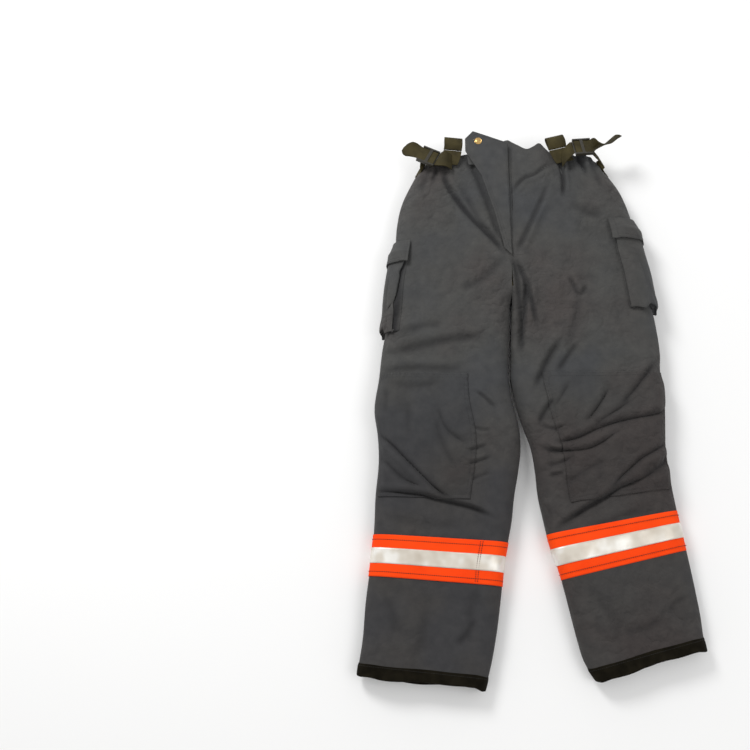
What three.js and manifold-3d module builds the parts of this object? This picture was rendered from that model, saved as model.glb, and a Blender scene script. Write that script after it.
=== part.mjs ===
// Firefighter's bunker pants, lying on their back with the front up.
// Millimetres. +X is towards the wearer's left, +Y towards the waist, +Z up from the surface they lie on.
// Each leg is drawn as ribs across it: a rib runs from the outseam to the inner edge (the centre seam above
// the crotch, the inseam below it), and every layer of the garment is a patch of those ribs at its own depth.
import * as THREE from 'three';
import Module from 'manifold-3d';
import { mergeVertices } from 'three/addons/utils/BufferGeometryUtils.js';

const wasm = await Module();
wasm.setup();

// ---- garment sizes, laid flat ----
const WAIST_WIDTH = 366;
const YOKE_WIDTH = 440;
const HIP_WIDTH = 462;
const CROTCH_WIDTH = 498;
const THIGH_WIDTH = 264;
const KNEE_WIDTH = 260;
const CALF_WIDTH = 240;
const HEM_WIDTH = 213;
const RISE = 280;
const INSEAM = 727;
const WAIST_DIP = 33;
const YOKE_DOWN = 100;
const HIP_DOWN = 170;
const THIGH_BELOW_CROTCH = 130;
const KNEE_BELOW_CROTCH = 310;
const CROTCH_X = -8;
const CROTCH_CURVE = 30;

// ---- lying thickness ----
const PELVIS_THICK = 58;
const THIGH_THICK = 56;
const KNEE_THICK = 52;
const CALF_THICK = 44;
const HEM_THICK = 36;
const SIDE_ROUND = 42;
const INNER_ROUND = 32;

// ---- cloth and fit ----
const GAP = 0.3;
const SHELL = 2;
const LINER = 2.4;
const LINING_EASE = 0.7;
const LINER_ABOVE_HEM = 60;
const FACING_HEIGHT = 40;
const FACING_THICK = 0.8;
const ELASTIC_WIDTH = 24;
const ELASTIC_THICK = 1.2;
const LEG_GAP = 3;
const ROW_STEP = 80;

// ---- trim ----
const TAPE_WIDTH = 76;
const TAPE_THICK = 0.9;
const TAPE_ABOVE_HEM = 210;
const STRIPE_WIDTH = 28;
const STRIPE_THICK = 0.6;
const RAMP = 9;
const CUFF_HEIGHT = 20;
const CUFF_THICK = 1.3;

// ---- knee reinforcement ----
const PATCH_LENGTH = 235;
const PATCH_THICK = 1.4;
const PAD_THICK = 4;
const PAD_MARGIN = 18;

// ---- bellows pockets ----
const POCKET_HEIGHT = 185;
const POCKET_DEPTH = 11;
const POCKET_WALL = 1.6;
const MOUTH_DROP = 30;
const FLAP_DROP = 48;
const FLAP_THICK = 1.6;
const FASTENER_THICK = 0.8;
const FLAP_SIDE_LAP = 3;
const STRIP_MARGIN = 3;
const POCKET_BACK = -0.11;

// ---- fly ----
const FLY_SEAM_X = -7;
const WELT_WIDTH = 6;
const FLY_LENGTH = 217;
const FLY_TOP_WIDTH = 80;
const FLY_THICK = 1.6;
const FLY_LIFT = 6;
const TAB_WIDTH = 85;
const TAB_TOP = 49;
const TAB_CHAMFER = 16;
const TAB_END = 5;
const TAB_SHOULDER = 22;
const ZIP_X = -14;
const ZIP_LENGTH = 160;
const ZIP_TOOTH_PITCH = 6;
const ZIP_GAP = 6.4;
const ZIP_TAPE_WIDTH = 13;
const ZIP_TAPE_THICK = 0.4;
const ZIP_END_ROOM = 10;
const ZIP_OPENING = ZIP_LENGTH + ZIP_END_ROOM;
const SLIDER_WIDTH = 11;
const SLIDER_LENGTH = 14;
const SLIDER_THICK = 1.6;
const PULL_LENGTH = 24;
const SNAP_CAP = 15;
const SNAP_X = -66;
const SNAP_Y = 26;

// ---- webbing and buckles ----
const WEB = 36;
const WEB_THICK = 1.6;
const LOOP_LENGTH = 27;
const LOOP_HALF = 5.6;
const ANCHOR_LENGTH = 38;
const BUCKLE_LENGTH = 36;
const BUCKLE_WIDTH = 46;
const BUCKLE_THICK = 4;
const BAR = 4.5;
const LOCK_BAR_START = 14;
const LOCK_BAR_END = 20;
const BUCKLE_TILT = 50;
const BUCKLE_RAISE = 6;
const STRAP_RISE = 13;

// How each leg lies: the inner edge's place, the slant of its ribs, and where its trims sit.
const LEGS = {
  right: {
    side: -1, shorten: 0, thighEase: -21, kneeEase: 6, hemEase: 11,
    thighIn: -16, kneeIn: -1.5, tapeIn: -38, hemIn: -80,
    kneeSlant: 4, tapeSlant: 17, hemSlant: 26, pocketTop: 185, patchGap: 70, patchShare: 0.72,
    loop: { x: -117, y: 8, turn: -6 }, buckle: { x: -166, y: -1, turn: 156, tail: 40 },
    strap: { x: -120, y: -20 },
  },
  left: {
    side: 1, shorten: 29, thighEase: 21, kneeEase: -5, hemEase: -13,
    thighIn: -13, kneeIn: 16, tapeIn: 49, hemIn: 118,
    kneeSlant: 16, tapeSlant: 50, hemSlant: 55, pocketTop: 138, patchGap: 44, patchShare: 0.88,
    loop: { x: 93, y: 12, turn: 14 }, buckle: { x: 143, y: 20, turn: 4, tail: 60 },
    strap: { x: 100, y: -14 },
  },
};

// A smooth curve through [position, value] knots.
function curve(knots) {
  const slope = (i) => {
    const a = knots[Math.max(i - 1, 0)];
    const b = knots[Math.min(i + 1, knots.length - 1)];
    return (b[1] - a[1]) / (b[0] - a[0]);
  };
  return (x) => {
    let i = 0;
    while (i < knots.length - 2 && x > knots[i + 1][0]) i += 1;
    const [p, q] = [knots[i], knots[i + 1]];
    const h = q[0] - p[0];
    const t = Math.min(Math.max((x - p[0]) / h, 0), 1);
    const [t2, t3] = [t * t, t * t * t];
    return (2 * t3 - 3 * t2 + 1) * p[1] + (t3 - 2 * t2 + t) * h * slope(i)
      + (3 * t2 - 2 * t3) * q[1] + (t3 - t2) * h * slope(i + 1);
  };
}

// Straight lines through [position, value] knots.
function polyline(knots) {
  return (x) => {
    let i = 0;
    while (i < knots.length - 2 && x > knots[i + 1][0]) i += 1;
    const [p, q] = [knots[i], knots[i + 1]];
    const t = Math.min(Math.max((x - p[0]) / (q[0] - p[0]), 0), 1);
    return p[1] + (q[1] - p[1]) * t;
  };
}

// Levels down the garment from the waist, and the edge curves of one leg.
function layLeg(leg) {
  const s = leg.side;
  leg.hem = RISE + INSEAM - leg.shorten;
  leg.tape = leg.hem - TAPE_ABOVE_HEM;
  leg.tapeTop = leg.tape - TAPE_WIDTH / 2;
  leg.tapeBottom = leg.tape + TAPE_WIDTH / 2;
  leg.patchBottom = leg.tapeTop - leg.patchGap;
  leg.patchTop = leg.patchBottom - PATCH_LENGTH;
  leg.mouth = leg.pocketTop + MOUTH_DROP;
  leg.flapEnd = leg.pocketTop + FLAP_DROP;
  leg.stripTop = leg.mouth + STRIP_MARGIN;
  leg.stripBottom = leg.flapEnd - STRIP_MARGIN;
  leg.pocketEnd = leg.pocketTop + POCKET_HEIGHT;
  const thigh = RISE + THIGH_BELOW_CROTCH;
  const knee = RISE + KNEE_BELOW_CROTCH;
  const inseamTop = CROTCH_X + s * LEG_GAP / 2;
  const inner = [
    [RISE, inseamTop], [thigh, leg.thighIn], [knee, leg.kneeIn], [leg.tape, leg.tapeIn], [leg.hem, leg.hemIn],
  ];
  const zipEdge = ZIP_X + s * ZIP_GAP / 2;
  const seamEdge = CROTCH_X + s * GAP / 2;
  const legIn = curve(inner);
  const frontRise = polyline([[0, zipEdge], [ZIP_OPENING, zipEdge], [RISE, inseamTop]]);
  const backRise = polyline([[0, seamEdge], [RISE - CROTCH_CURVE, seamEdge], [RISE, inseamTop]]);
  leg.innerFront = (d) => (d < RISE ? frontRise(d) : legIn(d));
  leg.innerBack = (d) => (d < RISE ? backRise(d) : legIn(d));
  leg.outer = curve([
    [0, s * WAIST_WIDTH / 2], [YOKE_DOWN, s * YOKE_WIDTH / 2], [HIP_DOWN, s * HIP_WIDTH / 2],
    [RISE, s * CROTCH_WIDTH / 2], [thigh, leg.thighIn + s * (THIGH_WIDTH + leg.thighEase)],
    [knee, leg.kneeIn + s * (KNEE_WIDTH + leg.kneeEase)], [leg.tape, leg.tapeIn + s * CALF_WIDTH],
    [leg.hem, leg.hemIn + s * (HEM_WIDTH + leg.hemEase)],
  ]);
  leg.slant = curve([
    [0, -WAIST_DIP], [YOKE_DOWN, -WAIST_DIP / 3], [HIP_DOWN, 0], [RISE, 0], [thigh, 0],
    [knee, leg.kneeSlant], [leg.tape, leg.tapeSlant], [leg.hem, leg.hemSlant],
  ]);
  leg.thick = curve([
    [0, PELVIS_THICK], [YOKE_DOWN, PELVIS_THICK], [HIP_DOWN, PELVIS_THICK], [RISE, PELVIS_THICK],
    [thigh, THIGH_THICK], [knee, KNEE_THICK], [leg.tape, CALF_THICK], [leg.hem, HEM_THICK],
  ]);
  // The back lies on the surface, lifted where the tape and the cuff go under it.
  const tapeLift = 2 * GAP + TAPE_THICK + STRIPE_THICK;
  const cuffLift = GAP + CUFF_THICK;
  leg.lift = polyline([
    [leg.tapeTop - RAMP, 0], [leg.tapeTop, tapeLift], [leg.tapeBottom, tapeLift],
    [leg.tapeBottom + RAMP, cuffLift], [leg.hem, cuffLift],
  ]);
}
Object.values(LEGS).forEach(layLeg);

// Girth coordinate: 0 on the outseam, +1 the front's inner edge, -1 the back's.
const ROUND_END = 0.3;
const FLAT_END = 0.7;

// A point of the shell's outer face, `off` outwards from it.
function skin(leg, d, c, off) {
  const front = c >= 0;
  const g = Math.abs(c);
  const tilt = leg.slant(d) / 2;
  const outer = new THREE.Vector2(leg.outer(d), -d + tilt);
  const inner = new THREE.Vector2(front ? leg.innerFront(d) : leg.innerBack(d), -d - tilt);
  const width = outer.distanceTo(inner);
  const across = inner.clone().sub(outer).divideScalar(width);
  const floor = leg.lift(d);
  const top = leg.thick(d);
  const middle = (top + floor) / 2;
  const half = (top - floor) / 2 - GAP / 2;
  const drop = THREE.MathUtils.smoothstep(d, RISE, RISE + CROTCH_CURVE);
  let along;
  let up;
  let normal = new THREE.Vector2(0, 1);
  if (g < ROUND_END) {
    const angle = g / ROUND_END * Math.PI / 2;
    along = SIDE_ROUND * (1 - Math.cos(angle));
    up = half * Math.sin(angle);
    normal.set(-Math.cos(angle) / SIDE_ROUND, Math.sin(angle) / half).normalize();
  } else if (g <= FLAT_END) {
    along = THREE.MathUtils.mapLinear(g, ROUND_END, FLAT_END, SIDE_ROUND, width - INNER_ROUND);
    up = half;
  } else {
    const angle = (g - FLAT_END) / (1 - FLAT_END) * Math.PI / 2;
    along = width - INNER_ROUND + INNER_ROUND * Math.sin(angle);
    up = half - half * drop * (1 - Math.cos(angle));
    if (drop > 0) normal.set(half * drop * Math.sin(angle), INNER_ROUND * Math.cos(angle)).normalize();
  }
  const sign = front ? 1 : -1;
  const flat = outer.clone().addScaledVector(across, along + normal.x * off);
  return new THREE.Vector3(flat.x, flat.y, middle + sign * (GAP / 2 + up + normal.y * off));
}

// Rib levels through the given marks, with plain ribs between them wherever they lie far apart.
function ribsThrough(marks) {
  const sorted = [...marks].sort((a, b) => a - b);
  const rows = [sorted[0]];
  for (const mark of sorted.slice(1)) {
    const last = rows[rows.length - 1];
    if (mark - last < 0.5) continue;
    const parts = Math.ceil((mark - last) / ROW_STEP);
    for (let k = 1; k <= parts; k += 1) rows.push(last + (mark - last) * k / parts);
  }
  return rows;
}

// The levels where the shell itself bends, and those with every trim's edge as well.
const bends = (leg) => [
  FACING_HEIGHT, HIP_DOWN, ZIP_OPENING, RISE, RISE + CROTCH_CURVE, leg.tapeTop - RAMP, leg.tapeTop,
  leg.tape - STRIPE_WIDTH / 2, leg.tape + STRIPE_WIDTH / 2, leg.tapeBottom, leg.tapeBottom + RAMP,
];
const ribs = (leg) => ribsThrough([
  0, leg.pocketTop, leg.mouth, leg.stripTop, leg.stripBottom, leg.flapEnd, leg.pocketEnd,
  leg.patchTop, leg.patchTop + PAD_MARGIN,
  leg.patchBottom - PAD_MARGIN, leg.patchBottom, leg.hem - CUFF_HEIGHT, leg.hem, ...bends(leg),
]);
const between = (rows, from, to) => [from, ...rows.filter((d) => d > from + 0.5 && d < to - 0.5), to];

// Girth columns of the front (or back) of a leg, from the outseam inwards.
function columns(leg) {
  const flat = (share) => ROUND_END + (FLAT_END - ROUND_END) * share;
  return [0, 0.1, 0.2, ROUND_END, flat(0.3), flat(leg.patchShare), FLAT_END, 0.8, 0.9, 1];
}

// ---- solids ----
function solidGeometry(points, triangles) {
  const geometry = new THREE.BufferGeometry();
  const places = points.flatMap((p) => [p.x, p.y, p.z]);
  geometry.setAttribute('position', new THREE.Float32BufferAttribute(places, 3));
  geometry.setIndex(triangles.flat());
  let volume = 0;
  for (const [a, b, c] of triangles) {
    volume += points[a].dot(new THREE.Vector3().crossVectors(points[b], points[c]));
  }
  if (volume < 0) geometry.setIndex(triangles.flatMap(([a, b, c]) => [a, c, b]));
  return geometry;
}

// A closed slab between two layers of a grid; `loop` joins its last column to its first.
function slab(rowCount, colCount, at, loop = false) {
  const points = [];
  for (const layer of [0, 1]) {
    for (let i = 0; i < rowCount; i += 1) {
      for (let j = 0; j < colCount; j += 1) points.push(at(i, j, layer));
    }
  }
  const id = (i, j, layer) => layer * rowCount * colCount + i * colCount + (j % colCount);
  const triangles = [];
  const quad = (a, b, c, d) => triangles.push([a, b, c], [a, c, d]);
  const last = loop ? colCount : colCount - 1;
  for (let i = 0; i < rowCount - 1; i += 1) {
    for (let j = 0; j < last; j += 1) {
      quad(id(i, j, 1), id(i, j + 1, 1), id(i + 1, j + 1, 1), id(i + 1, j, 1));
      quad(id(i, j, 0), id(i + 1, j, 0), id(i + 1, j + 1, 0), id(i, j + 1, 0));
    }
  }
  for (let j = 0; j < last; j += 1) {
    quad(id(0, j, 0), id(0, j + 1, 0), id(0, j + 1, 1), id(0, j, 1));
    const e = rowCount - 1;
    quad(id(e, j, 1), id(e, j + 1, 1), id(e, j + 1, 0), id(e, j, 0));
  }
  if (!loop) {
    for (let i = 0; i < rowCount - 1; i += 1) {
      quad(id(i, 0, 1), id(i + 1, 0, 1), id(i + 1, 0, 0), id(i, 0, 0));
      const e = colCount - 1;
      quad(id(i, e, 0), id(i + 1, e, 0), id(i + 1, e, 1), id(i, e, 1));
    }
  }
  return solidGeometry(points, triangles);
}

// A patch of one leg's surface between two depths, which may change from rib to rib or column to column.
function patch(leg, rows, cols, low, high) {
  const depth = (value, i, j) => (typeof value === 'function' ? value(i, j) : value);
  const at = (i, j, layer) => skin(leg, rows[i], cols[j], depth(layer ? high : low, i, j));
  return slab(rows.length, cols.length, at);
}

// A sleeve right round one leg.
function sleeve(leg, rows, low, high) {
  const half = columns(leg);
  const round = [...half.slice(1).reverse().map((c) => -c), ...half.slice(0, -1)];
  const at = (i, j, layer) => skin(leg, rows[i], round[j], layer ? high : low);
  return slab(rows.length, round.length, at, true);
}

function toSolid(geometry) {
  const plain = geometry.clone();
  plain.deleteAttribute('normal');
  plain.deleteAttribute('uv');
  const merged = mergeVertices(plain, 1e-4);
  const vertProperties = new Float32Array(merged.attributes.position.array);
  const triVerts = new Uint32Array(merged.index.array);
  return new wasm.Manifold(new wasm.Mesh({ numProp: 3, vertProperties, triVerts }));
}

function fromSolid(solid) {
  const mesh = solid.getMesh();
  const geometry = new THREE.BufferGeometry();
  geometry.setAttribute('position', new THREE.Float32BufferAttribute(mesh.vertProperties, 3));
  geometry.setIndex(Array.from(mesh.triVerts));
  return geometry;
}
const cut = (body, ...tools) => fromSolid(
  tools.reduce((solid, tool) => solid.subtract(toSolid(tool)), toSolid(body)),
);
const join = (...bodies) => fromSolid(bodies.map(toSolid).reduce((a, b) => a.add(b)));

const plate = (outline, z0, thick) => {
  const shape = new THREE.Shape(outline.map(([x, y]) => new THREE.Vector2(x, y)));
  return new THREE.ExtrudeGeometry(shape, { depth: thick, bevelEnabled: false }).translate(0, 0, z0);
};
const block = (x0, x1, y0, y1, z0, z1) => new THREE.BoxGeometry(x1 - x0, y1 - y0, z1 - z0)
  .translate((x0 + x1) / 2, (y0 + y1) / 2, (z0 + z1) / 2);
const turned = (profile, segments = 24) => new THREE.LatheGeometry(
  profile.map(([r, z]) => new THREE.Vector2(r, z)), segments,
).rotateX(Math.PI / 2);

// A flat strip through points, each with the direction its width lies in.
function ribbon(stations, width, thick) {
  const at = (i, j, layer) => {
    const { p, w } = stations[i];
    const next = stations[Math.min(i + 1, stations.length - 1)].p;
    const prev = stations[Math.max(i - 1, 0)].p;
    const face = new THREE.Vector3().subVectors(next, prev).cross(w).normalize();
    return p.clone().addScaledVector(w, (j - 0.5) * width).addScaledVector(face, (layer - 0.5) * thick);
  };
  return slab(stations.length, 2, at);
}

// ---- finishes ----
const finish = (color, roughness, metalness = 0) => (
  new THREE.MeshStandardMaterial({ color, roughness, metalness })
);
const CLOTH = finish(0x46494b, 0.85);
const LINING = finish(0x8a7f55, 0.9);
const PAD = finish(0x3a3a38, 0.95);
const ORANGE = finish(0xf75015, 0.6);
const SILVER = finish(0xd4c8b6, 0.35);
const CUFF = finish(0x15130c, 0.7);
const WEBBING = finish(0x3a311d, 0.8);
const PLASTIC = finish(0x1c1a14, 0.45);
const BRASS = finish(0xb8904a, 0.35, 1);
const FASTENER = finish(0x1d1c1a, 0.95);

const garment = new THREE.Group();
function add(name, geometry, material, parent = garment) {
  const mesh = new THREE.Mesh(geometry, material);
  mesh.name = name;
  parent.add(mesh);
  return mesh;
}

// ---- trousers: shell, lining, waist, trim ----
const LINING_TOP = FACING_HEIGHT + 2;
const underShell = -SHELL - GAP;

function shellAndLining(name, leg) {
  const rows = ribs(leg);
  const cols = columns(leg);
  const backCols = cols.map((c) => (c === 0 ? -1e-9 : -c));
  const liningRows = between(rows, LINING_TOP, leg.hem - LINER_ABOVE_HEM);
  const liningTop = underShell - LINING_EASE;
  add(`shell_front_${name}`, patch(leg, rows, cols, -SHELL, 0), CLOTH);
  add(`shell_back_${name}`, patch(leg, rows, backCols, -SHELL, 0), CLOTH);
  add(`lining_front_${name}`, patch(leg, liningRows, cols, liningTop - LINER, liningTop), LINING);
  add(`lining_back_${name}`, patch(leg, liningRows, backCols, liningTop - LINER, liningTop), LINING);
  const allRound = [...backCols.slice(1).reverse(), ...cols];
  const facingRows = [1, FACING_HEIGHT];
  add(`waist_facing_${name}`, patch(leg, facingRows, allRound, underShell - FACING_THICK, underShell), CLOTH);
  const elasticTop = (FACING_HEIGHT - ELASTIC_WIDTH) / 2;
  const elasticCols = allRound.filter((c) => c > -FLAT_END && c <= 0.2);
  const underFacing = underShell - FACING_THICK - GAP;
  add(`waist_elastic_${name}`, patch(leg, [elasticTop, elasticTop + ELASTIC_WIDTH], elasticCols,
    underFacing - ELASTIC_THICK, underFacing), FASTENER);
}

function trim(name, leg) {
  const tape = [leg.tapeTop, leg.tape - STRIPE_WIDTH / 2, leg.tape + STRIPE_WIDTH / 2, leg.tapeBottom];
  add(`orange_tape_${name}`, sleeve(leg, tape, GAP, GAP + TAPE_THICK), ORANGE);
  const overTape = 2 * GAP + TAPE_THICK;
  add(`silver_stripe_${name}`, sleeve(leg, tape.slice(1, 3), overTape, overTape + STRIPE_THICK), SILVER);
  // The cuff is a folded binding round the raw hem, outside, under and inside it.
  const cuffRows = [leg.hem - CUFF_HEIGHT, leg.hem + GAP + CUFF_THICK];
  const outside = sleeve(leg, cuffRows, underShell - CUFF_THICK, GAP + CUFF_THICK);
  const hollow = sleeve(leg, [leg.hem - CUFF_HEIGHT - 5, leg.hem + GAP], underShell, GAP);
  add(`hem_cuff_${name}`, cut(outside, hollow), CUFF);
}

function kneePatch(name, leg) {
  const rows = between(ribs(leg), leg.patchTop, leg.patchBottom);
  const innerCol = ROUND_END + (FLAT_END - ROUND_END) * leg.patchShare;
  const cols = columns(leg).filter((c) => c > 0.05 && c <= innerCol + 1e-6);
  const edge = (i, j) => i === 0 || j === 0 || i === rows.length - 1 || j === cols.length - 1;
  const under = (i, j) => (edge(i, j) ? GAP : 2 * GAP + PAD_THICK);
  add(`knee_patch_${name}`, patch(leg, rows, cols, under, (i, j) => under(i, j) + PATCH_THICK), CLOTH);
  add(`knee_pad_${name}`, patch(leg, rows.slice(1, -1), cols.slice(1, -1), GAP, GAP + PAD_THICK), PAD);
}

// ---- bellows pocket: an open-topped bag on the outseam, with a flap hinged above its mouth ----
function pocket(name, leg) {
  const cols = [POCKET_BACK, -0.06, 0, 0.1, 0.2, ROUND_END];
  const rows = between(ribs(leg), leg.mouth, leg.pocketEnd);
  const bag = patch(leg, rows, cols, GAP, GAP + POCKET_DEPTH);
  const inset = [POCKET_BACK + 0.01, -0.06, 0, 0.1, 0.2, ROUND_END - 0.015];
  const room = patch(leg, [rows[0] - 5, ...rows.slice(1, -1), leg.pocketEnd - POCKET_WALL], inset,
    GAP - 1, GAP + POCKET_DEPTH - POCKET_WALL);
  add(`pocket_bag_${name}`, cut(bag, room), CLOTH);
  const loopDepth = 2 * GAP + POCKET_DEPTH;
  const hookDepth = loopDepth + FASTENER_THICK + GAP;
  const flapDepth = hookDepth + FASTENER_THICK + GAP;
  const stripRows = [leg.stripTop, leg.stripBottom];
  const stripCols = [0, 0.1, 0.2];
  const strip = (depth) => patch(leg, stripRows, stripCols, depth, depth + FASTENER_THICK);
  add(`pocket_loop_strip_${name}`, strip(loopDepth), FASTENER);
  const flapRows = [leg.pocketTop, leg.mouth - STRIP_MARGIN, ...stripRows, leg.flapEnd];
  const lap = (FLAP_SIDE_LAP / SIDE_ROUND) * ROUND_END;
  const flapCols = [POCKET_BACK + 0.02, -0.06, 0, 0.1, 0.2, ROUND_END, ROUND_END + lap];
  const depth = (i) => (i === 0 ? 3 * GAP : flapDepth);
  add(`pocket_flap_${name}`, patch(leg, flapRows, flapCols, depth, (i) => depth(i) + FLAP_THICK), CLOTH);
  add(`pocket_hook_strip_${name}`, strip(hookDepth), FASTENER);
}

// ---- fly: zip, storm flap with its tab, snap ----
const FACE = PELVIS_THICK;
const FLAP_UNDER = FACE + FLY_LIFT;
const FLAP_OVER = FLAP_UNDER + FLY_THICK;

function fly() {
  const seam = FLY_SEAM_X;
  const outline = [
    [seam, TAB_SHOULDER], [seam - 9, TAB_SHOULDER + 2], [seam - TAB_WIDTH + TAB_CHAMFER, TAB_TOP],
    [seam - TAB_WIDTH, TAB_TOP - TAB_CHAMFER], [seam - TAB_WIDTH, TAB_END], [seam - FLY_TOP_WIDTH, -TAB_END],
    [seam - 0.61 * FLY_TOP_WIDTH, -0.3 * FLY_LENGTH], [seam - 0.36 * FLY_TOP_WIDTH, -0.6 * FLY_LENGTH],
    [seam - 0.16 * FLY_TOP_WIDTH, -0.93 * FLY_LENGTH], [seam, -FLY_LENGTH],
  ];
  add('fly_flap', plate(outline, FLAP_UNDER, FLY_THICK), CLOTH);
  const welt = seam + GAP;
  add('fly_welt', block(welt, welt + WELT_WIDTH, -FLY_LENGTH, 14, FACE + GAP, FLAP_OVER), CLOTH);
  const tabIn = ZIP_X - ZIP_GAP / 2 - 3;
  const tabOut = seam - TAB_WIDTH + 4;
  add('underlap_tab', plate([
    [tabIn, -24], [tabIn, TAB_SHOULDER - 6], [tabOut + TAB_CHAMFER, TAB_TOP - 7],
    [tabOut, TAB_TOP - TAB_CHAMFER - 3], [tabOut, -12],
  ], FACE + GAP, FLY_THICK), CLOTH);
  const place = (geometry, z) => geometry.translate(SNAP_X, SNAP_Y, z);
  const cap = SNAP_CAP / 2;
  const collar = cap * 0.8;
  const dome = [[0, 0], [cap, 0], [cap, 0.6], [collar, 1.6], [cap * 0.4, 2.1], [0, 2.3]];
  add('snap_cap', place(turned(dome), FLAP_OVER + GAP), BRASS);
  const tabTop = FACE + GAP + FLY_THICK;
  const socketDeep = 2;
  const bore = 3.6;
  const ring = [[bore, 0], [collar, 0], [collar, socketDeep], [bore, socketDeep], [bore, 0]];
  add('snap_socket', place(turned(ring), FLAP_UNDER - GAP - socketDeep), BRASS);
  const stud = [[0, 0], [collar, 0], [collar, 0.8], [2.6, 0.8], [3, 2.8], [2.2, 3.4], [0, 3.4]];
  add('snap_stud', place(turned(stud), tabTop + GAP), BRASS);
}

function zip() {
  const top = 4;
  const bottom = top - ZIP_LENGTH;
  const half = ZIP_GAP / 2;
  const spine = 1;
  for (const [name, side] of [['right', -1], ['left', 1]]) {
    const edge = ZIP_X + side * (half - GAP);
    const outline = [[edge, bottom], [edge - side * spine, bottom]];
    const start = bottom + (side > 0 ? ZIP_TOOTH_PITCH / 2 : 0);
    const tip = ZIP_X + side * -0.6;
    const tooth = ZIP_TOOTH_PITCH / 2 - 2 * GAP;
    for (let y = start + 1; y + tooth < top; y += ZIP_TOOTH_PITCH) {
      outline.push([edge - side * spine, y], [tip, y], [tip, y + tooth], [edge - side * spine, y + tooth]);
    }
    outline.push([edge - side * spine, top], [edge, top]);
    if (side < 0) outline.reverse();
    add(`zip_teeth_${name}`, plate(outline, FACE - SHELL, SHELL + 0.6), BRASS);
    const inside = ZIP_X + side * 0.4;
    const outside = ZIP_X + side * ZIP_TAPE_WIDTH;
    const z = FACE - SHELL - GAP;
    const [x0, x1] = [Math.min(inside, outside), Math.max(inside, outside)];
    add(`zip_tape_${name}`, block(x0, x1, bottom - 4, -LINING_TOP, z - ZIP_TAPE_THICK, z), FASTENER);
  }
  const rest = FACE + 0.6 + GAP;
  const end = top - SLIDER_LENGTH - 1;
  const across = SLIDER_WIDTH / 2;
  const over = rest + SLIDER_THICK;
  const body = block(ZIP_X - across, ZIP_X + across, end, end + SLIDER_LENGTH, rest, over);
  const bridge = block(ZIP_X - 1.5, ZIP_X + 1.5, end + 3, end + 11, over - 0.4, over + 2.6);
  const eye = block(ZIP_X - 2, ZIP_X + 2, end + 5, end + 9, over, over + 1.6);
  add('zip_slider', cut(join(body, bridge), eye), BRASS);
  const pull = block(ZIP_X - 4, ZIP_X + 4, end + 9.3 - PULL_LENGTH, end + 8.4, over + GAP, over + 1.3);
  const slot = block(ZIP_X - 1.8, ZIP_X + 1.8, end + 1, end + 5.5, rest, rest + 4);
  add('zip_pull', cut(pull, slot), BRASS);
  const stop = half - GAP;
  const stopBar = block(ZIP_X - stop, ZIP_X + stop, bottom - 4, bottom - GAP, FACE - SHELL, FACE + 0.6);
  add('zip_bottom_stop', stopBar, BRASS);
}

// ---- webbing: suspender loops and side take-up straps ----
function suspenderLoop(name, leg) {
  const { x, y, turn } = leg.loop;
  const angle = turn * Math.PI / 180;
  const centre = FACE + GAP + WEB_THICK / 2;
  const place = (geometry) => geometry.rotateZ(angle).translate(x, y, centre);
  const anchor = block(-WEB / 2, WEB / 2, -ANCHOR_LENGTH, 0, -WEB_THICK / 2, WEB_THICK / 2);
  add(`suspender_anchor_${name}`, place(anchor), WEBBING);
  // The loop is a folded strip seen end on: a teardrop outline with its point at the anchor.
  const point = WEB_THICK / 2;
  const bend = LOOP_LENGTH - LOOP_HALF;
  const arc = (cx, r, from, to, steps) => Array.from({ length: steps + 1 }, (_, k) => {
    const t = from + (to - from) * k / steps;
    return new THREE.Vector2(cx + r * Math.cos(t), r * Math.sin(t));
  });
  const neck = 9;
  const outline = new THREE.Shape([
    ...arc(GAP + point, point, 1.5 * Math.PI, 0.5 * Math.PI, 4),
    new THREE.Vector2(neck, LOOP_HALF), ...arc(bend, LOOP_HALF, Math.PI / 2, -Math.PI / 2, 8),
    new THREE.Vector2(neck, -LOOP_HALF),
  ]);
  const inside = LOOP_HALF - WEB_THICK;
  outline.holes.push(new THREE.Path([
    new THREE.Vector2(GAP + point + 3, 0), new THREE.Vector2(neck + 1, -inside),
    ...arc(bend, inside, -Math.PI / 2, Math.PI / 2, 8), new THREE.Vector2(neck + 1, inside),
  ]));
  const loop = new THREE.ExtrudeGeometry(outline, { depth: WEB, bevelEnabled: false });
  loop.translate(0, 0, -WEB / 2);
  loop.applyMatrix4(new THREE.Matrix4().makeBasis(
    new THREE.Vector3(0, 1, 0), new THREE.Vector3(0, 0, 1), new THREE.Vector3(1, 0, 0),
  ));
  add(`suspender_loop_${name}`, place(loop), WEBBING);
}

// The buckle's own frame: u along the strap away from the fly, v across it, n out of its face.
function buckleFrame(leg) {
  const yaw = leg.buckle.turn * Math.PI / 180;
  const tilt = BUCKLE_TILT * Math.PI / 180;
  const u = new THREE.Vector3(Math.cos(yaw), Math.sin(yaw), 0);
  const waistward = new THREE.Vector3(-leg.side * u.y, leg.side * u.x, 0);
  const v = waistward.clone().multiplyScalar(Math.cos(tilt)).add(new THREE.Vector3(0, 0, -Math.sin(tilt)));
  const n = waistward.clone().multiplyScalar(Math.sin(tilt)).add(new THREE.Vector3(0, 0, Math.cos(tilt)));
  const origin = new THREE.Vector3(leg.buckle.x, leg.buckle.y, FACE + BUCKLE_RAISE)
    .addScaledVector(u, -BUCKLE_LENGTH / 2);
  return { u, v, n, origin };
}

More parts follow.
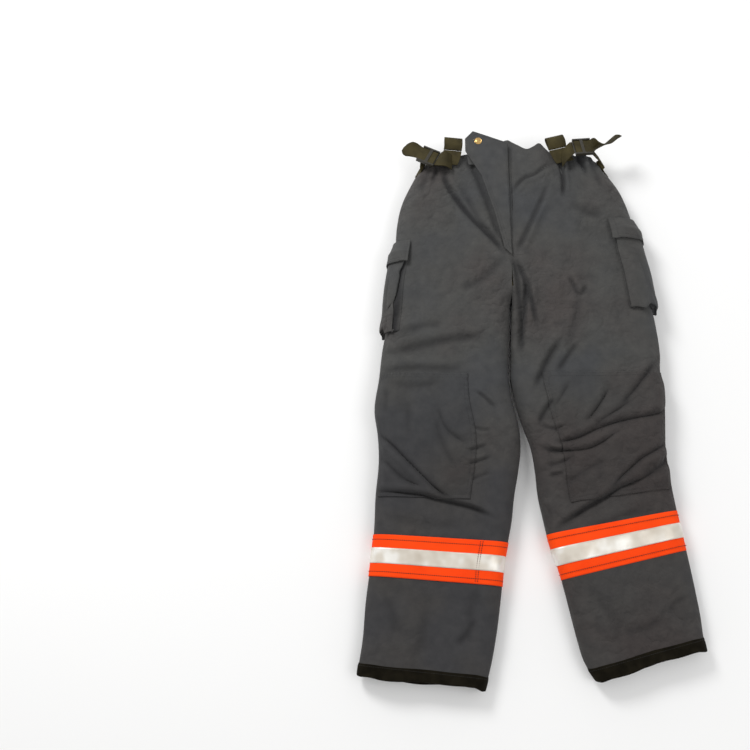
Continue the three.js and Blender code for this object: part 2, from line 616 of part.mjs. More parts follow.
function takeUp(name, leg) {
  const { u, v, n, origin } = buckleFrame(leg);
  const at = (a, b, c) => origin.clone().addScaledVector(u, a).addScaledVector(v, b).addScaledVector(n, c);
  const box = (a0, a1, b0, b1, c0, c1) => slab(2, 2, (i, j, layer) => (
    at(i ? a1 : a0, j ? b1 : b0, layer ? c1 : c0)
  ));
  const half = BUCKLE_WIDTH / 2;
  const thick = BUCKLE_THICK;
  const slotHalf = WEB / 2 + 1;
  const webTop = 1 + WEB_THICK;
  const frame = box(0, BUCKLE_LENGTH, -half, half, -thick / 2, thick / 2 + 2);
  const inner = box(BAR, LOCK_BAR_START, -slotHalf, slotHalf, -thick, thick + 1);
  const outer = box(LOCK_BAR_END, BUCKLE_LENGTH - BAR, -slotHalf, slotHalf, -thick, thick + 1);
  const channel = box(-1, BUCKLE_LENGTH + 1, -slotHalf, slotHalf, 0.7, webTop + GAP);
  const relief = box(LOCK_BAR_END, BUCKLE_LENGTH + 1, -slotHalf, slotHalf, 0.7, thick + 1);
  const lip = box(-1, LOCK_BAR_START, -slotHalf, slotHalf, 0.7, thick + 1);
  add(`buckle_${name}`, cut(frame, inner, outer, channel, relief, lip), PLASTIC);
  const tail = box(2, BUCKLE_LENGTH + leg.buckle.tail, -WEB / 2, WEB / 2, 1, webTop);
  add(`strap_tail_${name}`, tail, WEBBING);
  // The front strap comes from its stitches on the shell and twists into the buckle's inner bar.
  const y = new THREE.Vector3(0, 1, 0);
  const start = new THREE.Vector3(leg.strap.x, leg.strap.y, FACE + 2 * GAP + 1.5 * WEB_THICK);
  const end = at(-2.5 * GAP, 0, 0);
  const strap = [0, 0.25, 0.5, 0.75, 1].map((t) => {
    const p = start.clone().lerp(end, t);
    p.z += STRAP_RISE * Math.sin(Math.PI * t);
    return { p, w: y.clone().lerp(v, t ** 3).normalize() };
  });
  add(`take_up_strap_${name}`, ribbon(strap, WEB * 0.92, WEB_THICK), WEBBING);
  // The side strap lies on the waist's side seam and rises under the buckle.
  const seat = (d, c) => skin(leg, d, c, GAP + WEB_THICK / 2 + 0.1);
  const seam = seat(WEB_THICK, 0).sub(seat(FACING_HEIGHT, 0)).normalize();
  const middleDown = FACING_HEIGHT / 2;
  const rise = seat(middleDown, 0.1);
  const bulge = rise.clone().add(new THREE.Vector3(leg.side * 9, 8, 7));
  const under = at(BUCKLE_LENGTH - 6, 4, -thick / 2 - GAP - WEB_THICK / 2 - 0.4);
  const side = [seat(middleDown, 0), rise, bulge, under].map((p, i) => (
    { p, w: seam.clone().lerp(v, Math.max(i - 1, 0) / 2).normalize() }
  ));
  add(`side_strap_${name}`, ribbon(side, WEB * 0.6, WEB_THICK), WEBBING);
}

for (const [name, leg] of Object.entries(LEGS)) {
  shellAndLining(name, leg);
  trim(name, leg);
  kneePatch(name, leg);
  pocket(name, leg);
  suspenderLoop(name, leg);
  takeUp(name, leg);
}
fly();
zip();

// The origin is at the middle of the outer box, on the surface the pants lie on.
garment.updateMatrixWorld(true);
const extent = new THREE.Box3().setFromObject(garment, true);
const middle = extent.getCenter(new THREE.Vector3());
garment.position.set(-middle.x, -middle.y, -extent.min.z);

export default garment;
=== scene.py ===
import math

import bmesh
import bpy
import numpy as np
from mathutils import Matrix, Vector


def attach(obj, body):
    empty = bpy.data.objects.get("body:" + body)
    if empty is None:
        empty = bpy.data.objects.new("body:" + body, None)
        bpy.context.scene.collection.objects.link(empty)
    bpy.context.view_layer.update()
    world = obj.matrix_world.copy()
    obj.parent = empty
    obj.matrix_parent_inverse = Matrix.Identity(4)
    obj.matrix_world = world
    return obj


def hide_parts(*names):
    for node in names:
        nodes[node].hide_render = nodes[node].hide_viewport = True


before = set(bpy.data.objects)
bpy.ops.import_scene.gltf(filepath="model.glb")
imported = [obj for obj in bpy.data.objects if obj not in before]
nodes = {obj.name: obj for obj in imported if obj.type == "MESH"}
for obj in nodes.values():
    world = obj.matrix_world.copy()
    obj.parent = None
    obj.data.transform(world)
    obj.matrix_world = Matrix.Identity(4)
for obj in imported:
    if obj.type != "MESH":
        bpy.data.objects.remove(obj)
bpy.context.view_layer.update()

# ---- view, floor and light ----
# The pants lie on a pale table and are seen from above, a little towards the hems.
# The lamps are two large soft boxes and a pale surround, so the folds shade gently.
camera = bpy.data.objects.new("camera", bpy.data.cameras.new("camera"))
camera.data.lens, camera.data.sensor_width = 47.25, 36
camera.location = (-0.27898, -0.4793, 1.8264)
camera.rotation_euler = (math.radians(16), 0, 0)
bpy.context.collection.objects.link(camera)
bpy.context.scene.camera = camera
bpy.context.scene.view_settings.view_transform = "Standard"


def new_object(name, mesh):
    thing = bpy.data.objects.new(name, mesh)
    bpy.context.collection.objects.link(thing)
    return thing


def mesh_from(name, bm):
    mesh = bpy.data.meshes.new(name)
    bm.to_mesh(mesh)
    bm.free()
    return mesh


def new_material(name, **inputs):
    """A material with these plain shader values, and its nodes, links and shader."""
    made = bpy.data.materials.new(name)
    made.use_nodes = True
    shader = made.node_tree.nodes["Principled BSDF"]
    for key, value in inputs.items():
        shader.inputs[key.replace("_", " ")].default_value = value
    return made, made.node_tree.nodes, made.node_tree.links, shader


bm = bmesh.new()
bmesh.ops.create_grid(bm, x_segments=1, y_segments=1, size=6)
floor = new_object("floor", mesh_from("floor", bm))
paper, paper_nodes, paper_links, paper_shader = new_material("pale_paper", Roughness=0.9)
grain = paper_nodes.new("ShaderNodeTexNoise")
grain.inputs["Scale"].default_value = 3
tint = paper_nodes.new("ShaderNodeValToRGB")
tint.color_ramp.elements[0].color = (0.88, 0.88, 0.88, 1)
tint.color_ramp.elements[1].color = (0.91, 0.91, 0.9, 1)
paper_links.new(grain.outputs["Fac"], tint.inputs["Fac"])
paper_links.new(tint.outputs["Color"], paper_shader.inputs["Base Color"])
floor.data.materials.append(paper)


def lamp(name, place, target, size, power):
    data = bpy.data.lights.new(name, "AREA")
    data.shape, data.size, data.energy = "DISK", size, power
    light = bpy.data.objects.new(name, data)
    light.location = place
    light.rotation_euler = (Vector(target) - Vector(place)).to_track_quat("-Z", "Y").to_euler()
    bpy.context.collection.objects.link(light)


lamp("key_lamp", (-1.3, 1.5, 1.7), (0, 0, 0), 0.9, 38)
lamp("fill_lamp", (1.6, -0.6, 2.4), (0, 0, 0), 1.8, 16)
world = bpy.data.worlds.new("pale_room")
world.use_nodes = True
world.node_tree.nodes["Background"].inputs["Color"].default_value = (1, 1, 1, 1)
world.node_tree.nodes["Background"].inputs["Strength"].default_value = 0.67
bpy.context.scene.world = world

# ---- how the legs lie ----
# Each leg is a flattened tube of cloth, drawn from its outseam (c = 0) round the front to the inner
# edge (c = 1) and round the back to the same edge (c = -1), down from the waist (d, in millimetres).
WAIST = (-6.977, 486.392)
RISE, CROTCH_CURVE = 280, 40
SIDE_ROUND, INNER_ROUND = 42, 32
ROUND_END, FLAT_END = 0.3, 0.7


def smooth(*knots):
    """A smooth curve through (position, value) knots."""
    at, value = np.array(knots, float).T
    slope = np.gradient(value, at)

    def curve(x):
        x = np.asarray(x, float)
        i = np.clip(np.searchsorted(at, x) - 1, 0, len(at) - 2)
        step = at[i + 1] - at[i]
        t = np.clip((x - at[i]) / step, 0, 1)
        ends = (2 * t**3 - 3 * t**2 + 1) * value[i] + (3 * t**2 - 2 * t**3) * value[i + 1]
        return ends + step * ((t**3 - 2 * t**2 + t) * slope[i] + (t**3 - t**2) * slope[i + 1])

    return curve


def ease(low, high, x):
    t = np.clip((x - low) / (high - low), 0, 1)
    return t * t * (3 - 2 * t)


class Leg:
    pass


right, left = Leg(), Leg()
LEGS = {"right": right, "left": left}
right.side, left.side = -1, 1
right.hem, left.hem = 1007, 978
right.outer = smooth(
    (0, -176), (17, -181), (50, -197), (100, -219), (150, -229), (200, -232), (280, -242), (350, -249),
    (410, -259), (455, -264), (522, -273), (568, -267), (613, -265), (681, -271), (746, -274),
    (811, -281), (874, -289), (936, -294), (987, -302), (1010, -305),
)
left.outer = smooth(
    (0, 176), (17, 182), (50, 204), (75, 218), (102, 228), (150, 239), (200, 245), (256, 255), (306, 261),
    (355, 268), (410, 272), (451, 270), (475, 275), (522, 273), (591, 269), (658, 274), (703, 280),
    (746, 287), (790, 294), (853, 303), (895, 308), (936, 311), (960, 315),
)
right.inner = smooth(
    (-30, -8.2), (240, -8.2), (280, -9.5), (379, -14.5), (467, -18), (506, -13), (535, -6), (560, -2),
    (591, -1), (636, -7), (681, -16), (725, -22), (768, -31), (811, -40), (853, -45), (895, -51),
    (936, -58), (977, -67), (1030, -82),
)
left.inner = smooth(
    (-30, -7.8), (240, -7.8), (280, -6.5), (379, -12), (415, -13), (471, -14), (491, -10), (522, -4),
    (556, 6), (585, 16), (638, 24), (681, 27), (725, 35), (768, 44), (811, 58), (853, 68), (895, 77),
    (936, 86), (977, 98), (1008, 118),
)
right.slant = smooth((0, -33), (100, -11), (170, 0), (280, 0), (410, 0), (590, 4), (797, 17), (1007, 24))
left.slant = smooth((0, -33), (100, -11), (170, 0), (280, 0), (410, 0), (590, 16), (768, 50), (978, 55))
right.thick = smooth((0, 50), (40, 56), (120, 58), (280, 58), (410, 56), (590, 52), (797, 44), (1007, 37))
left.thick = smooth((0, 50), (40, 56), (120, 58), (280, 58), (410, 56), (590, 52), (768, 44), (978, 37))

# ---- folds in the cloth ----
# Aramid cloth is stiff and springy, so it breaks into sharp valleys with a raised lip beside them.
# Each fold is its half width, its depth, the side of its lip and the line it runs along, in millimetres.
FOLDS = [
    # from the waist down to the crotch
    (5, 6, 1, [(-134, -24), (-129, -69), (-85, -136), (-41, -185), (-22, -214)]),
    (6, 4, 1, [(-92, -6), (-68, -52), (-44, -128), (-26, -198)]),
    (4, 5, 1, [(-221, -244), (-226, -270), (-233, -302), (-244, -332)]),
    (7, 3, 1, [(-100, -70), (-70, -140), (-38, -186)]),
    (3.2, 3, 0, [(0, 2), (-1, -40), (-2, -120), (-8, -222)]),
    (4, 4.5, -1, [(-3, -84), (22, -54), (49, -43), (90, -17)]),
    (5, 4.5, 1, [(74, -60), (28, -159), (2, -212)]),
    (4, 6, 1, [(94, 0), (101, -50), (99, -92)]),
    (4, 7, 1, [(128, -4), (149, -44)]),
    (4, 4, -1, [(112, -2), (117, -38)]),
    (6, 3, 1, [(160, -20), (178, -75)]),
    (6, 3, -1, [(-160, -26), (-182, -80)]),
    (5, 4, -1, [(-148, -22), (-158, -60)]),
    (16, -4, 0, [(-95, -188), (-58, -212), (-14, -236)]),
    (10, -3, 0, [(60, -100), (38, -150), (18, -205)]),
    (9, 3, -1, [(110, -110), (145, -126), (176, -134)]),
    (14, -2.5, 0, [(120, -96), (150, -108), (174, -112)]),
    (8, 3, 1, [(-18, -216), (-60, -262), (-110, -290)]),
    # from the crotch down the thighs
    (5, 6, 1, [(0, -226), (17, -274), (38, -373)]),
    (5, 5, -1, [(-6, -222), (2, -262), (4, -330), (-2, -420)]),
    (12, -4, 0, [(6, -240), (26, -300), (40, -400)]),
    (7, 10, 1, [(24, -262), (17, -300), (9, -336), (4, -372), (2, -420)]),
    (5, 4, -1, [(112, -392), (92, -420), (70, -452)]),
    (4, 4, 1, [(100, -258), (119, -301)]),
    (4, 3, 1, [(119, -301), (136, -280)]),
    (9, 2.5, 1, [(120, -300), (108, -360), (88, -410)]),
    (9, 4, 1, [(-254, -415), (-187, -401), (-120, -387), (-60, -380)]),
    (8, 2.5, 1, [(-240, -380), (-180, -362), (-140, -356)]),
    (7, 3, 1, [(-263, -449), (-187, -445), (-109, -448)]),
    (6, 5, -1, [(80, -386), (52, -430), (26, -484)]),
    (5, 4.5, -1, [(62, -500), (46, -524), (29, -552)]),
    (5, 3, -1, [(92, -470), (74, -500), (60, -520)]),
    # right knee
    (4.5, 7, -1, [(-270, -562), (-240, -592), (-211, -623), (-158, -675), (-132, -688)]),
    (4, 8, 1, [(-276, -674), (-199, -680), (-151, -692), (-96, -706), (-60, -722)]),
    (5, 3.5, -1, [(-262, -610), (-225, -650), (-190, -668)]),
    (3.2, 3.5, 1, [(-84, -488), (-66, -502), (-48, -520)]),
    (3.2, 3.5, -1, [(-92, -556), (-74, -562), (-58, -560)]),
    (3, 3, 1, [(-102, -602), (-84, -596), (-66, -590)]),
    (3, 3.5, 1, [(-104, -626), (-82, -620), (-60, -612)]),
    (3, 3, -1, [(-96, -654), (-62, -642)]),
    (7, 2, 1, [(-211, -515), (-208, -579)]),
    (7, 2.5, -1, [(-159, -535), (-150, -585), (-120, -640)]),
    (5, 3, 1, [(-155, -520), (-140, -560), (-104, -590)]),
    (7, 2, 1, [(-250, -485), (-250, -537)]),
    (9, 2.5, 1, [(-250, -470), (-200, -480), (-140, -470)]),
    # left knee
    (5, 7, 1, [(59, -586), (92, -580), (130, -564), (183, -545), (246, -532), (272, -518)]),
    (4, 7, 1, [(30, -594), (60, -601), (112, -598), (138, -588), (176, -567)]),
    (5, 8, 1, [(56, -742), (106, -709), (158, -679), (185, -663), (240, -644)]),
    (5, 7, 1, [(272, -582), (240, -603), (213, -619), (181, -648), (150, -676)]),
    (6, 5, -1, [(262, -424), (213, -484), (182, -514)]),
    (5, 5, -1, [(164, -484), (143, -516), (118, -550)]),
    (5, 4, -1, [(214, -500), (170, -530), (120, -562)]),
    (8, 5, 1, [(268, -608), (250, -630), (214, -652)]),
    (3.2, 3.5, 1, [(34, -552), (60, -560), (80, -552)]),
    (3.2, 3, 1, [(40, -628), (66, -624), (90, -612)]),
    (3.2, 3, 1, [(44, -648), (74, -642)]),
    (7, 3, 1, [(150, -620), (110, -640), (70, -668)]),
    (14, -4, 0, [(240, -560), (190, -580), (120, -575)]),
    # shins
    (8, 2.5, 1, [(110, -748), (160, -730), (230, -700)]),
    (9, 2, -1, [(-250, -720), (-180, -735), (-110, -738)]),
    (6, 3, 1, [(285, -862), (262, -872), (246, -892)]),
    (9, 2.5, 1, [(240, -900), (200, -918), (160, -922)]),
    (9, 2, -1, [(110, -850), (150, -900), (160, -940)]),
    (9, 2, 1, [(-250, -860), (-232, -930)]),
    (6, 3, 1, [(-128, -946), (-108, -925), (-96, -900)]),
    (9, 2, -1, [(-180, -860), (-190, -930), (-205, -975)]),
    (8, 2, 1, [(-90, -850), (-110, -910)]),
]


def run(points, steps=5):
    """A smooth line through a few points, as short straight pieces."""
    points = np.array(points, float)
    if len(points) == 2:
        return points[0] + (points[1] - points[0]) * np.linspace(0, 1, steps + 1)[:, None]
    at = np.arange(len(points))
    fine = np.linspace(0, len(points) - 1, (len(points) - 1) * steps + 1)
    return np.stack([smooth(*zip(at, points[:, k]))(fine) for k in range(points.shape[1])], 1)


FOLD_LINES = [(half, depth, lip, run(line)) for half, depth, lip, line in FOLDS]
waves = np.random.default_rng(11)
RIPPLES = [
    (
        waves.uniform(0, math.tau), math.tau / waves.uniform(35, 120),
        waves.uniform(0, math.tau), waves.uniform(0.2, 0.7),
    )
    for _ in range(14)
]
ZIP_X = -14


def folds(x, y):
    """The cloth's height over its smooth lie at these places, and how deep in a fold each is, from 0 to 1."""
    height, deep = np.zeros_like(x), np.zeros_like(x)
    for half, depth, lip, line in FOLD_LINES:
        reach = 5 * half
        low, high = line.min(0) - reach, line.max(0) + reach
        near = (x > low[0]) & (x < high[0]) & (y > low[1]) & (y < high[1])
        if not near.any():
            continue
        px, py = x[near], y[near]
        best = np.full(px.shape, 1e9)
        side, share = np.zeros_like(px), np.zeros_like(px)
        count = len(line) - 1
        for k in range(count):
            (ax, ay), (bx, by) = line[k], line[k + 1]
            ex, ey = bx - ax, by - ay
            long = math.hypot(ex, ey)
            t = np.clip(((px - ax) * ex + (py - ay) * ey) / long**2, 0, 1)
            gap = np.hypot(px - ax - t * ex, py - ay - t * ey)
            closer = gap < best
            best = np.where(closer, gap, best)
            side = np.where(closer, np.sign(ex * (py - ay) - ey * (px - ax)), side)
            share = np.where(closer, (k + t) / count, share)
        fade = np.minimum(1, 5 * share) * np.minimum(1, 5 * (1 - share)) * 0.85 + 0.15
        valley = np.exp(-((best / half) ** 2)) * fade
        height[near] -= depth * valley
        if lip:
            from_lip = (side * lip * best - 1.9 * half) / (1.6 * half)
            height[near] += 0.6 * depth * fade * np.exp(-(from_lip**2))
            # the fold's depth, which the cloth's colour later uses as painted shade in its valleys
            deep[near] = np.maximum(deep[near], valley * min(depth / 6, 1))
    for turn, rate, phase, size in RIPPLES:
        height += size * 0.5 * np.sin((x * math.cos(turn) + y * math.sin(turn)) * rate + phase)
    # flat under the zip's run
    by_zip = (1 - ease(9, 14, np.abs(x - ZIP_X))) * ease(-222, -212, y)
    height -= np.maximum(height, -0.5) * by_zip
    gather = ease(92, 125, np.abs(x)) * np.exp(-(((y + 8) / 30) ** 2))
    height += 1.4 * gather * np.sin(x * 0.52 + y / 11 + np.sin(x / 19))
    return height, deep


def lie(leg, d, c):
    """The smooth lie of a leg's cloth: a point for each d and c, in millimetres from the waist."""
    tilt = leg.slant(d) / 2
    out_y, in_y = tilt - d, -d - tilt
    out_x, in_x = leg.outer(-out_y), leg.inner(-in_y)
    width = np.hypot(in_x - out_x, in_y - out_y)
    top = leg.thick(d)
    half, g = (top - 1) / 2, np.abs(c)
    drop = ease(RISE, RISE + CROTCH_CURVE, d)
    turn = np.clip(g / ROUND_END, 0, 1) * math.pi / 2
    fall = np.clip((g - FLAT_END) / (1 - FLAT_END), 0, 1) * math.pi / 2
    flat = np.clip((g - ROUND_END) / (FLAT_END - ROUND_END), 0, 1)
    along = SIDE_ROUND * (1 - np.cos(turn)) + flat * (width - SIDE_ROUND - INNER_ROUND)
    along = along + INNER_ROUND * np.sin(fall)
    up = half * np.sin(turn) - half * drop * (1 - np.cos(fall))
    share = along / width
    x, y = out_x + (in_x - out_x) * share, out_y + (in_y - out_y) * share
    return np.stack([x, y, 1 + half + np.where(c >= 0, 1, -1) * up], -1)


def facing_out(leg, shape, d, c):
    """Unit vectors out of a surface shape(d, c)."""
    ahead, behind = np.clip(c + 0.004, -1, 1), np.clip(c - 0.004, -1, 1)
    round_leg = shape(d, ahead) - shape(d, behind)
    down_leg = shape(d + 0.8, c) - shape(d - 0.8, c)
    out = np.cross(down_leg, round_leg) * -leg.side
    return out / np.maximum(np.linalg.norm(out, axis=-1, keepdims=True), 1e-9)


# how far the front's top edge stands above the waist, by x
TOP_EDGE = smooth(
    (-400, 0), (-150, 0), (-120, 1), (-95, 3), (-60, 4), (-30, 12), (-7, 19), (14, 13), (35, 8),
    (46, 14), (58, 22), (69, 14), (80, 6), (100, 4), (123, 9), (148, 14), (165, 11), (190, 3), (400, 0),
)


def folded(leg, d, c, deep=False):
    d, c = np.broadcast_arrays(np.asarray(d, float), np.asarray(c, float))
    point = lie(leg, d, c)
    out = facing_out(leg, lambda a, b: lie(leg, a, b), d, c)
    height, depth = folds(point[..., 0].ravel(), point[..., 1].ravel())
    front = ease(0.02, 0.16, c) * (1 - ease(0.86, 1, c) * ease(RISE, RISE + CROTCH_CURVE, d))
    move = height.reshape(d.shape) * front
    made = point + out * move[..., None]
    # the waist's edge rises to the fly, with a pucker beside the left loop
    rim = np.exp(-((d / 34) ** 2)) * (c >= 0) * ease(0.03, 0.22, c)
    made[..., 1] += rim * TOP_EDGE(made[..., 0])
    made[..., 2] += rim * 4 * np.exp(-(((made[..., 0] - 57) / 15) ** 2))
    return (made, depth.reshape(d.shape) * front) if deep else made


def on_leg(leg, d, c, off):
    """Points that stand `off` millimetres out from the folded cloth."""
    d, c = np.broadcast_arrays(np.asarray(d, float), np.asarray(c, float))
    out = facing_out(leg, lambda a, b: folded(leg, a, b), d, c)
    return folded(leg, d, c) + out * np.broadcast_to(off, d.shape)[..., None]


def in_frame(points):
    return (np.asarray(points, float) + (WAIST[0], WAIST[1], 0)) / 1000


def cloth_grid(name, rows, cols, shape, thick=None, inward=True, closed=False, shade=None):
    """A grid of cloth: shape(row, column) gives the points in millimetres for whole arrays of both.
    Its UV map is the flat cloth in metres, so a weave follows it."""
    bm = bmesh.new()
    bmesh.ops.create_grid(bm, x_segments=len(cols) - 1, y_segments=len(rows) - 1, size=1)
    mesh = mesh_from(name, bm)
    flat = np.zeros(len(mesh.vertices) * 3)
    mesh.vertices.foreach_get("co", flat)
    flat = (flat.reshape(-1, 3) + 1) / 2
    i = np.rint(flat[:, 1] * (len(rows) - 1)).astype(int)
    j = np.rint(flat[:, 0] * (len(cols) - 1)).astype(int)
    row, col = np.meshgrid(np.asarray(rows, float), np.asarray(cols, float), indexing="ij")
    points = shape(row, col)
    mesh.vertices.foreach_set("co", in_frame(points)[i, j].ravel())
    across = np.concatenate([[0], np.cumsum(np.linalg.norm(np.diff(points[len(rows) // 2], axis=0), axis=1))])
    down = np.concatenate([[0], np.cumsum(np.linalg.norm(np.diff(points[:, len(cols) // 2], axis=0), axis=1))])
    corners = np.zeros(len(mesh.loops), int)
    mesh.loops.foreach_get("vertex_index", corners)
    uv = mesh.uv_layers.new(name="cloth")
    uv.data.foreach_set("uv", np.stack([across[j[corners]], down[i[corners]]], 1).ravel() / 1000)
    # shade(row, column) gives painted shade, a darkness kept as a point attribute for the colour to use
    if shade is not None:
        dark = mesh.attributes.new("painted_fold_shade", "FLOAT", "POINT")
        dark.data.foreach_set("value", shade(row, col)[i, j].astype(np.float32))
    if closed:
        bm = bmesh.new()
        bm.from_mesh(mesh)
        bmesh.ops.remove_doubles(bm, verts=bm.verts, dist=1e-6)
        bm.to_mesh(mesh)
        bm.free()
    mesh.polygons.foreach_set("use_smooth", [True] * len(mesh.polygons))
    piece = new_object(name, mesh)
    if thick:
        solid = piece.modifiers.new("thickness", "SOLIDIFY")
        solid.thickness, solid.offset = thick / 1000, -1 if inward else 1
        solid.use_quality_normals = True
    return piece


def face_out(piece, outward):
    """Turns the cloth's right side outwards: outward is a vector that it should face in its middle."""
    mesh = piece.data
    normals = np.zeros(len(mesh.polygons) * 3)
    mesh.polygons.foreach_get("normal", normals)
    if (normals.reshape(-1, 3) @ np.array(outward, float)).sum() < 0:
        mesh.flip_normals()
    return piece


def spaced(low, high, step):
    return np.linspace(low, high, max(2, round((high - low) / step) + 1))


def round_columns(step):
    """Columns across a leg's front from the outseam to its inner edge, about `step` millimetres apart."""
    side, flat, inner = round(56 / step), round(190 / step), round(48 / step)
    return np.concatenate([
        np.linspace(0, ROUND_END, side + 1), np.linspace(ROUND_END, FLAT_END, flat + 1)[1:],
        np.linspace(FLAT_END, 1, inner + 1)[1:],
    ])


# ---- shell: front and back panels ----
# Plain-weave aramid cloth, dark grey with a navy cast, paler where it rubs, with painted shade darkening it in
# the valleys of its folds.
# A front and a back panel a leg are joined down the outseam, the inseam and the middle.
def cloth_weave(nodes_, links, shader, pitch, depth):
    """Adds a plain weave, two sets of fine bands across each other on the cloth's own UV map, as bump."""
    uv = nodes_.new("ShaderNodeUVMap")
    uv.uv_map = "cloth"
    bands = []
    for direction in ("X", "Y"):
        wave = nodes_.new("ShaderNodeTexWave")
        wave.bands_direction = direction
        wave.inputs["Scale"].default_value = 0.314 / pitch
        wave.inputs["Distortion"].default_value = 0.6
        wave.inputs["Detail"].default_value = 1
        wave.inputs["Detail Scale"].default_value = 2
        links.new(uv.outputs["UV"], wave.inputs["Vector"])
        bands.append(wave)
    both = nodes_.new("ShaderNodeMath")
    both.operation = "ADD"
    links.new(bands[0].outputs["Fac"], both.inputs[0])
    links.new(bands[1].outputs["Fac"], both.inputs[1])
    bump = nodes_.new("ShaderNodeBump")
    bump.inputs["Strength"].default_value = 0.5
    bump.inputs["Distance"].default_value = depth
    links.new(both.outputs["Value"], bump.inputs["Height"])
    links.new(bump.outputs["Normal"], shader.inputs["Normal"])
    return both, bump


def noise(nodes_, links, scale, detail=3.0, vector=None):
    made = nodes_.new("ShaderNodeTexNoise")
    made.inputs["Scale"].default_value = scale
    made.inputs["Detail"].default_value = detail
    if vector is None:
        vector = nodes_.new("ShaderNodeTexCoord").outputs["Object"]
    links.new(vector, made.inputs["Vector"])
    return made.outputs["Fac"]


def ramp(nodes_, links, fac, *stops):
    made = nodes_.new("ShaderNodeValToRGB")
    cells = made.color_ramp.elements
    while len(cells) < len(stops):
        cells.new(0.5)
    for cell, (place, color) in zip(cells, stops):
        cell.position = place
        cell.color = (*color, 1)
    links.new(fac, made.inputs["Fac"])
    return made.outputs["Color"]


def mixed(nodes_, links, fac, a, b, blend="MIX"):
    made = nodes_.new("ShaderNodeMix")
    made.data_type, made.blend_type = "RGBA", blend
    for socket, value in (("Factor", fac), ("A", a), ("B", b)):
        target = [s for s in made.inputs if s.name == socket and s.enabled][0]
        if isinstance(value, bpy.types.NodeSocket):
            links.new(value, target)
        else:
            target.default_value = value if socket == "Factor" else (*value, 1)
    return [s for s in made.outputs if s.enabled][0]


def weave_shaded(nodes_, links, color, thread, low, high):
    """A cloth's colour along its weave, with painted shade between its threads and a painted highlight on them.
    """
    shade = ramp(nodes_, links, thread.outputs["Value"], (0, (low,) * 3), (1, (high,) * 3))
    return mixed(nodes_, links, 1.0, color, shade, "MULTIPLY")


def shell_cloth(name, light=1.0, brown=0.5):
    made, n, links, shader = new_material(
        name, Roughness=0.8, Sheen_Weight=0.05, Sheen_Roughness=0.5, Specular_IOR_Level=0.22
    )
    slate, brownish, navy = (0.0535, 0.0535, 0.0515), (0.051, 0.0455, 0.0435), (0.046, 0.048, 0.0505)
    slate, brownish, navy = [tuple(light * v for v in shade) for shade in (slate, brownish, navy)]
    brown_from = 0.5 + 0.3 * (1 - brown) + 0.06
    wide = ramp(n, links, noise(n, links, 5.5, 2), (0.36, navy), (0.5, slate), (brown_from, brownish))
    mottle = ramp(n, links, noise(n, links, 60, 4), (0.3, (0.86, 0.86, 0.87)), (0.7, (1.1, 1.09, 1.08)))
    color = mixed(n, links, 1.0, wide, mottle, "MULTIPLY")
    # painted shade: the colour goes near black in the valleys of the folds, by the attribute the grids store
    painted_fold_shade = n.new("ShaderNodeAttribute")
    painted_fold_shade.attribute_name = "painted_fold_shade"
    color = mixed(n, links, painted_fold_shade.outputs["Fac"], color, (0.012, 0.012, 0.013))
    thread, weave = cloth_weave(n, links, shader, 0.0011, 0.00022)
    # small sharp crumples, in patches
    place = n.new("ShaderNodeTexCoord")
    ridge = n.new("ShaderNodeMath")
    ridge.operation = "SUBTRACT"
    links.new(noise(n, links, 21, 3), ridge.inputs[0])
    ridge.inputs[1].default_value = 0.5
    crumple = n.new("ShaderNodeMath")
    crumple.operation = "ABSOLUTE"
    links.new(ridge.outputs["Value"], crumple.inputs[0])
    lines = ramp(n, links, crumple.outputs["Value"], (0.0, (0,) * 3), (0.16, (1,) * 3))
    where = ramp(n, links, noise(n, links, 6, 2), (0.42, (0.12,) * 3), (0.62, (1,) * 3))
    patches = mixed(n, links, 1.0, lines, where, "MULTIPLY")
    bump = n.new("ShaderNodeBump")
    bump.inputs["Strength"].default_value, bump.inputs["Distance"].default_value = 0.6, 0.006
    links.new(patches, bump.inputs["Height"])
    links.new(bump.outputs["Normal"], weave.inputs["Normal"])
    color = weave_shaded(n, links, color, thread, 0.9, 1.07)
    # the legs are darker and browner from the knees down
    parts = n.new("ShaderNodeSeparateXYZ")
    links.new(place.outputs["Object"], parts.inputs["Vector"])
    span = n.new("ShaderNodeMapRange")
    span.inputs["From Min"].default_value, span.inputs["From Max"].default_value = KNEES_END, KNEES_START
    links.new(parts.outputs["Y"], span.inputs["Value"])
    below_knee_tone = ramp(n, links, span.outputs["Result"], (0, (0.80, 0.76, 0.76)), (1, (1.0, 1.0, 1.0)))
    links.new(mixed(n, links, 1.0, color, below_knee_tone, "MULTIPLY"), shader.inputs["Base Color"])
    return made


KNEES_START, KNEES_END = 0.06, -0.16
shell_material = shell_cloth("shell_cloth")
SHELL_STEP = 2.8
SHELL_CLOTH = 1.1


def dressed(piece, made, node, body):
    """Gives a piece its material, hides the solid it stands for, and sets the body it moves with."""
    piece.data.materials.append(made)
    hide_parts(node)
    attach(piece, body)


# painted shade for a leg's fold valleys, from how deep in a fold each point lies
def crease_shade(leg):
    return lambda d, c: np.clip(folded(leg, d, c, deep=True)[1], 0, 1) * 0.8


for name, leg in LEGS.items():
    front = cloth_grid(
        f"front_panel_{name}", spaced(0, leg.hem, SHELL_STEP), round_columns(SHELL_STEP),
        lambda d, c: folded(leg, d, c), SHELL_CLOTH, shade=crease_shade(leg),
    )
    back = cloth_grid(
        f"back_panel_{name}", spaced(0, leg.hem, 7), -round_columns(6),
        lambda d, c: folded(leg, d, np.minimum(c, -1e-9)), SHELL_CLOTH,
    )
    face_out(front, (0, 0, 1))
    face_out(back, (0, 0, -1))
    for panel, node in ((front, f"shell_front_{name}"), (back, f"shell_back_{name}")):
        dressed(panel, shell_material, node, "trousers")

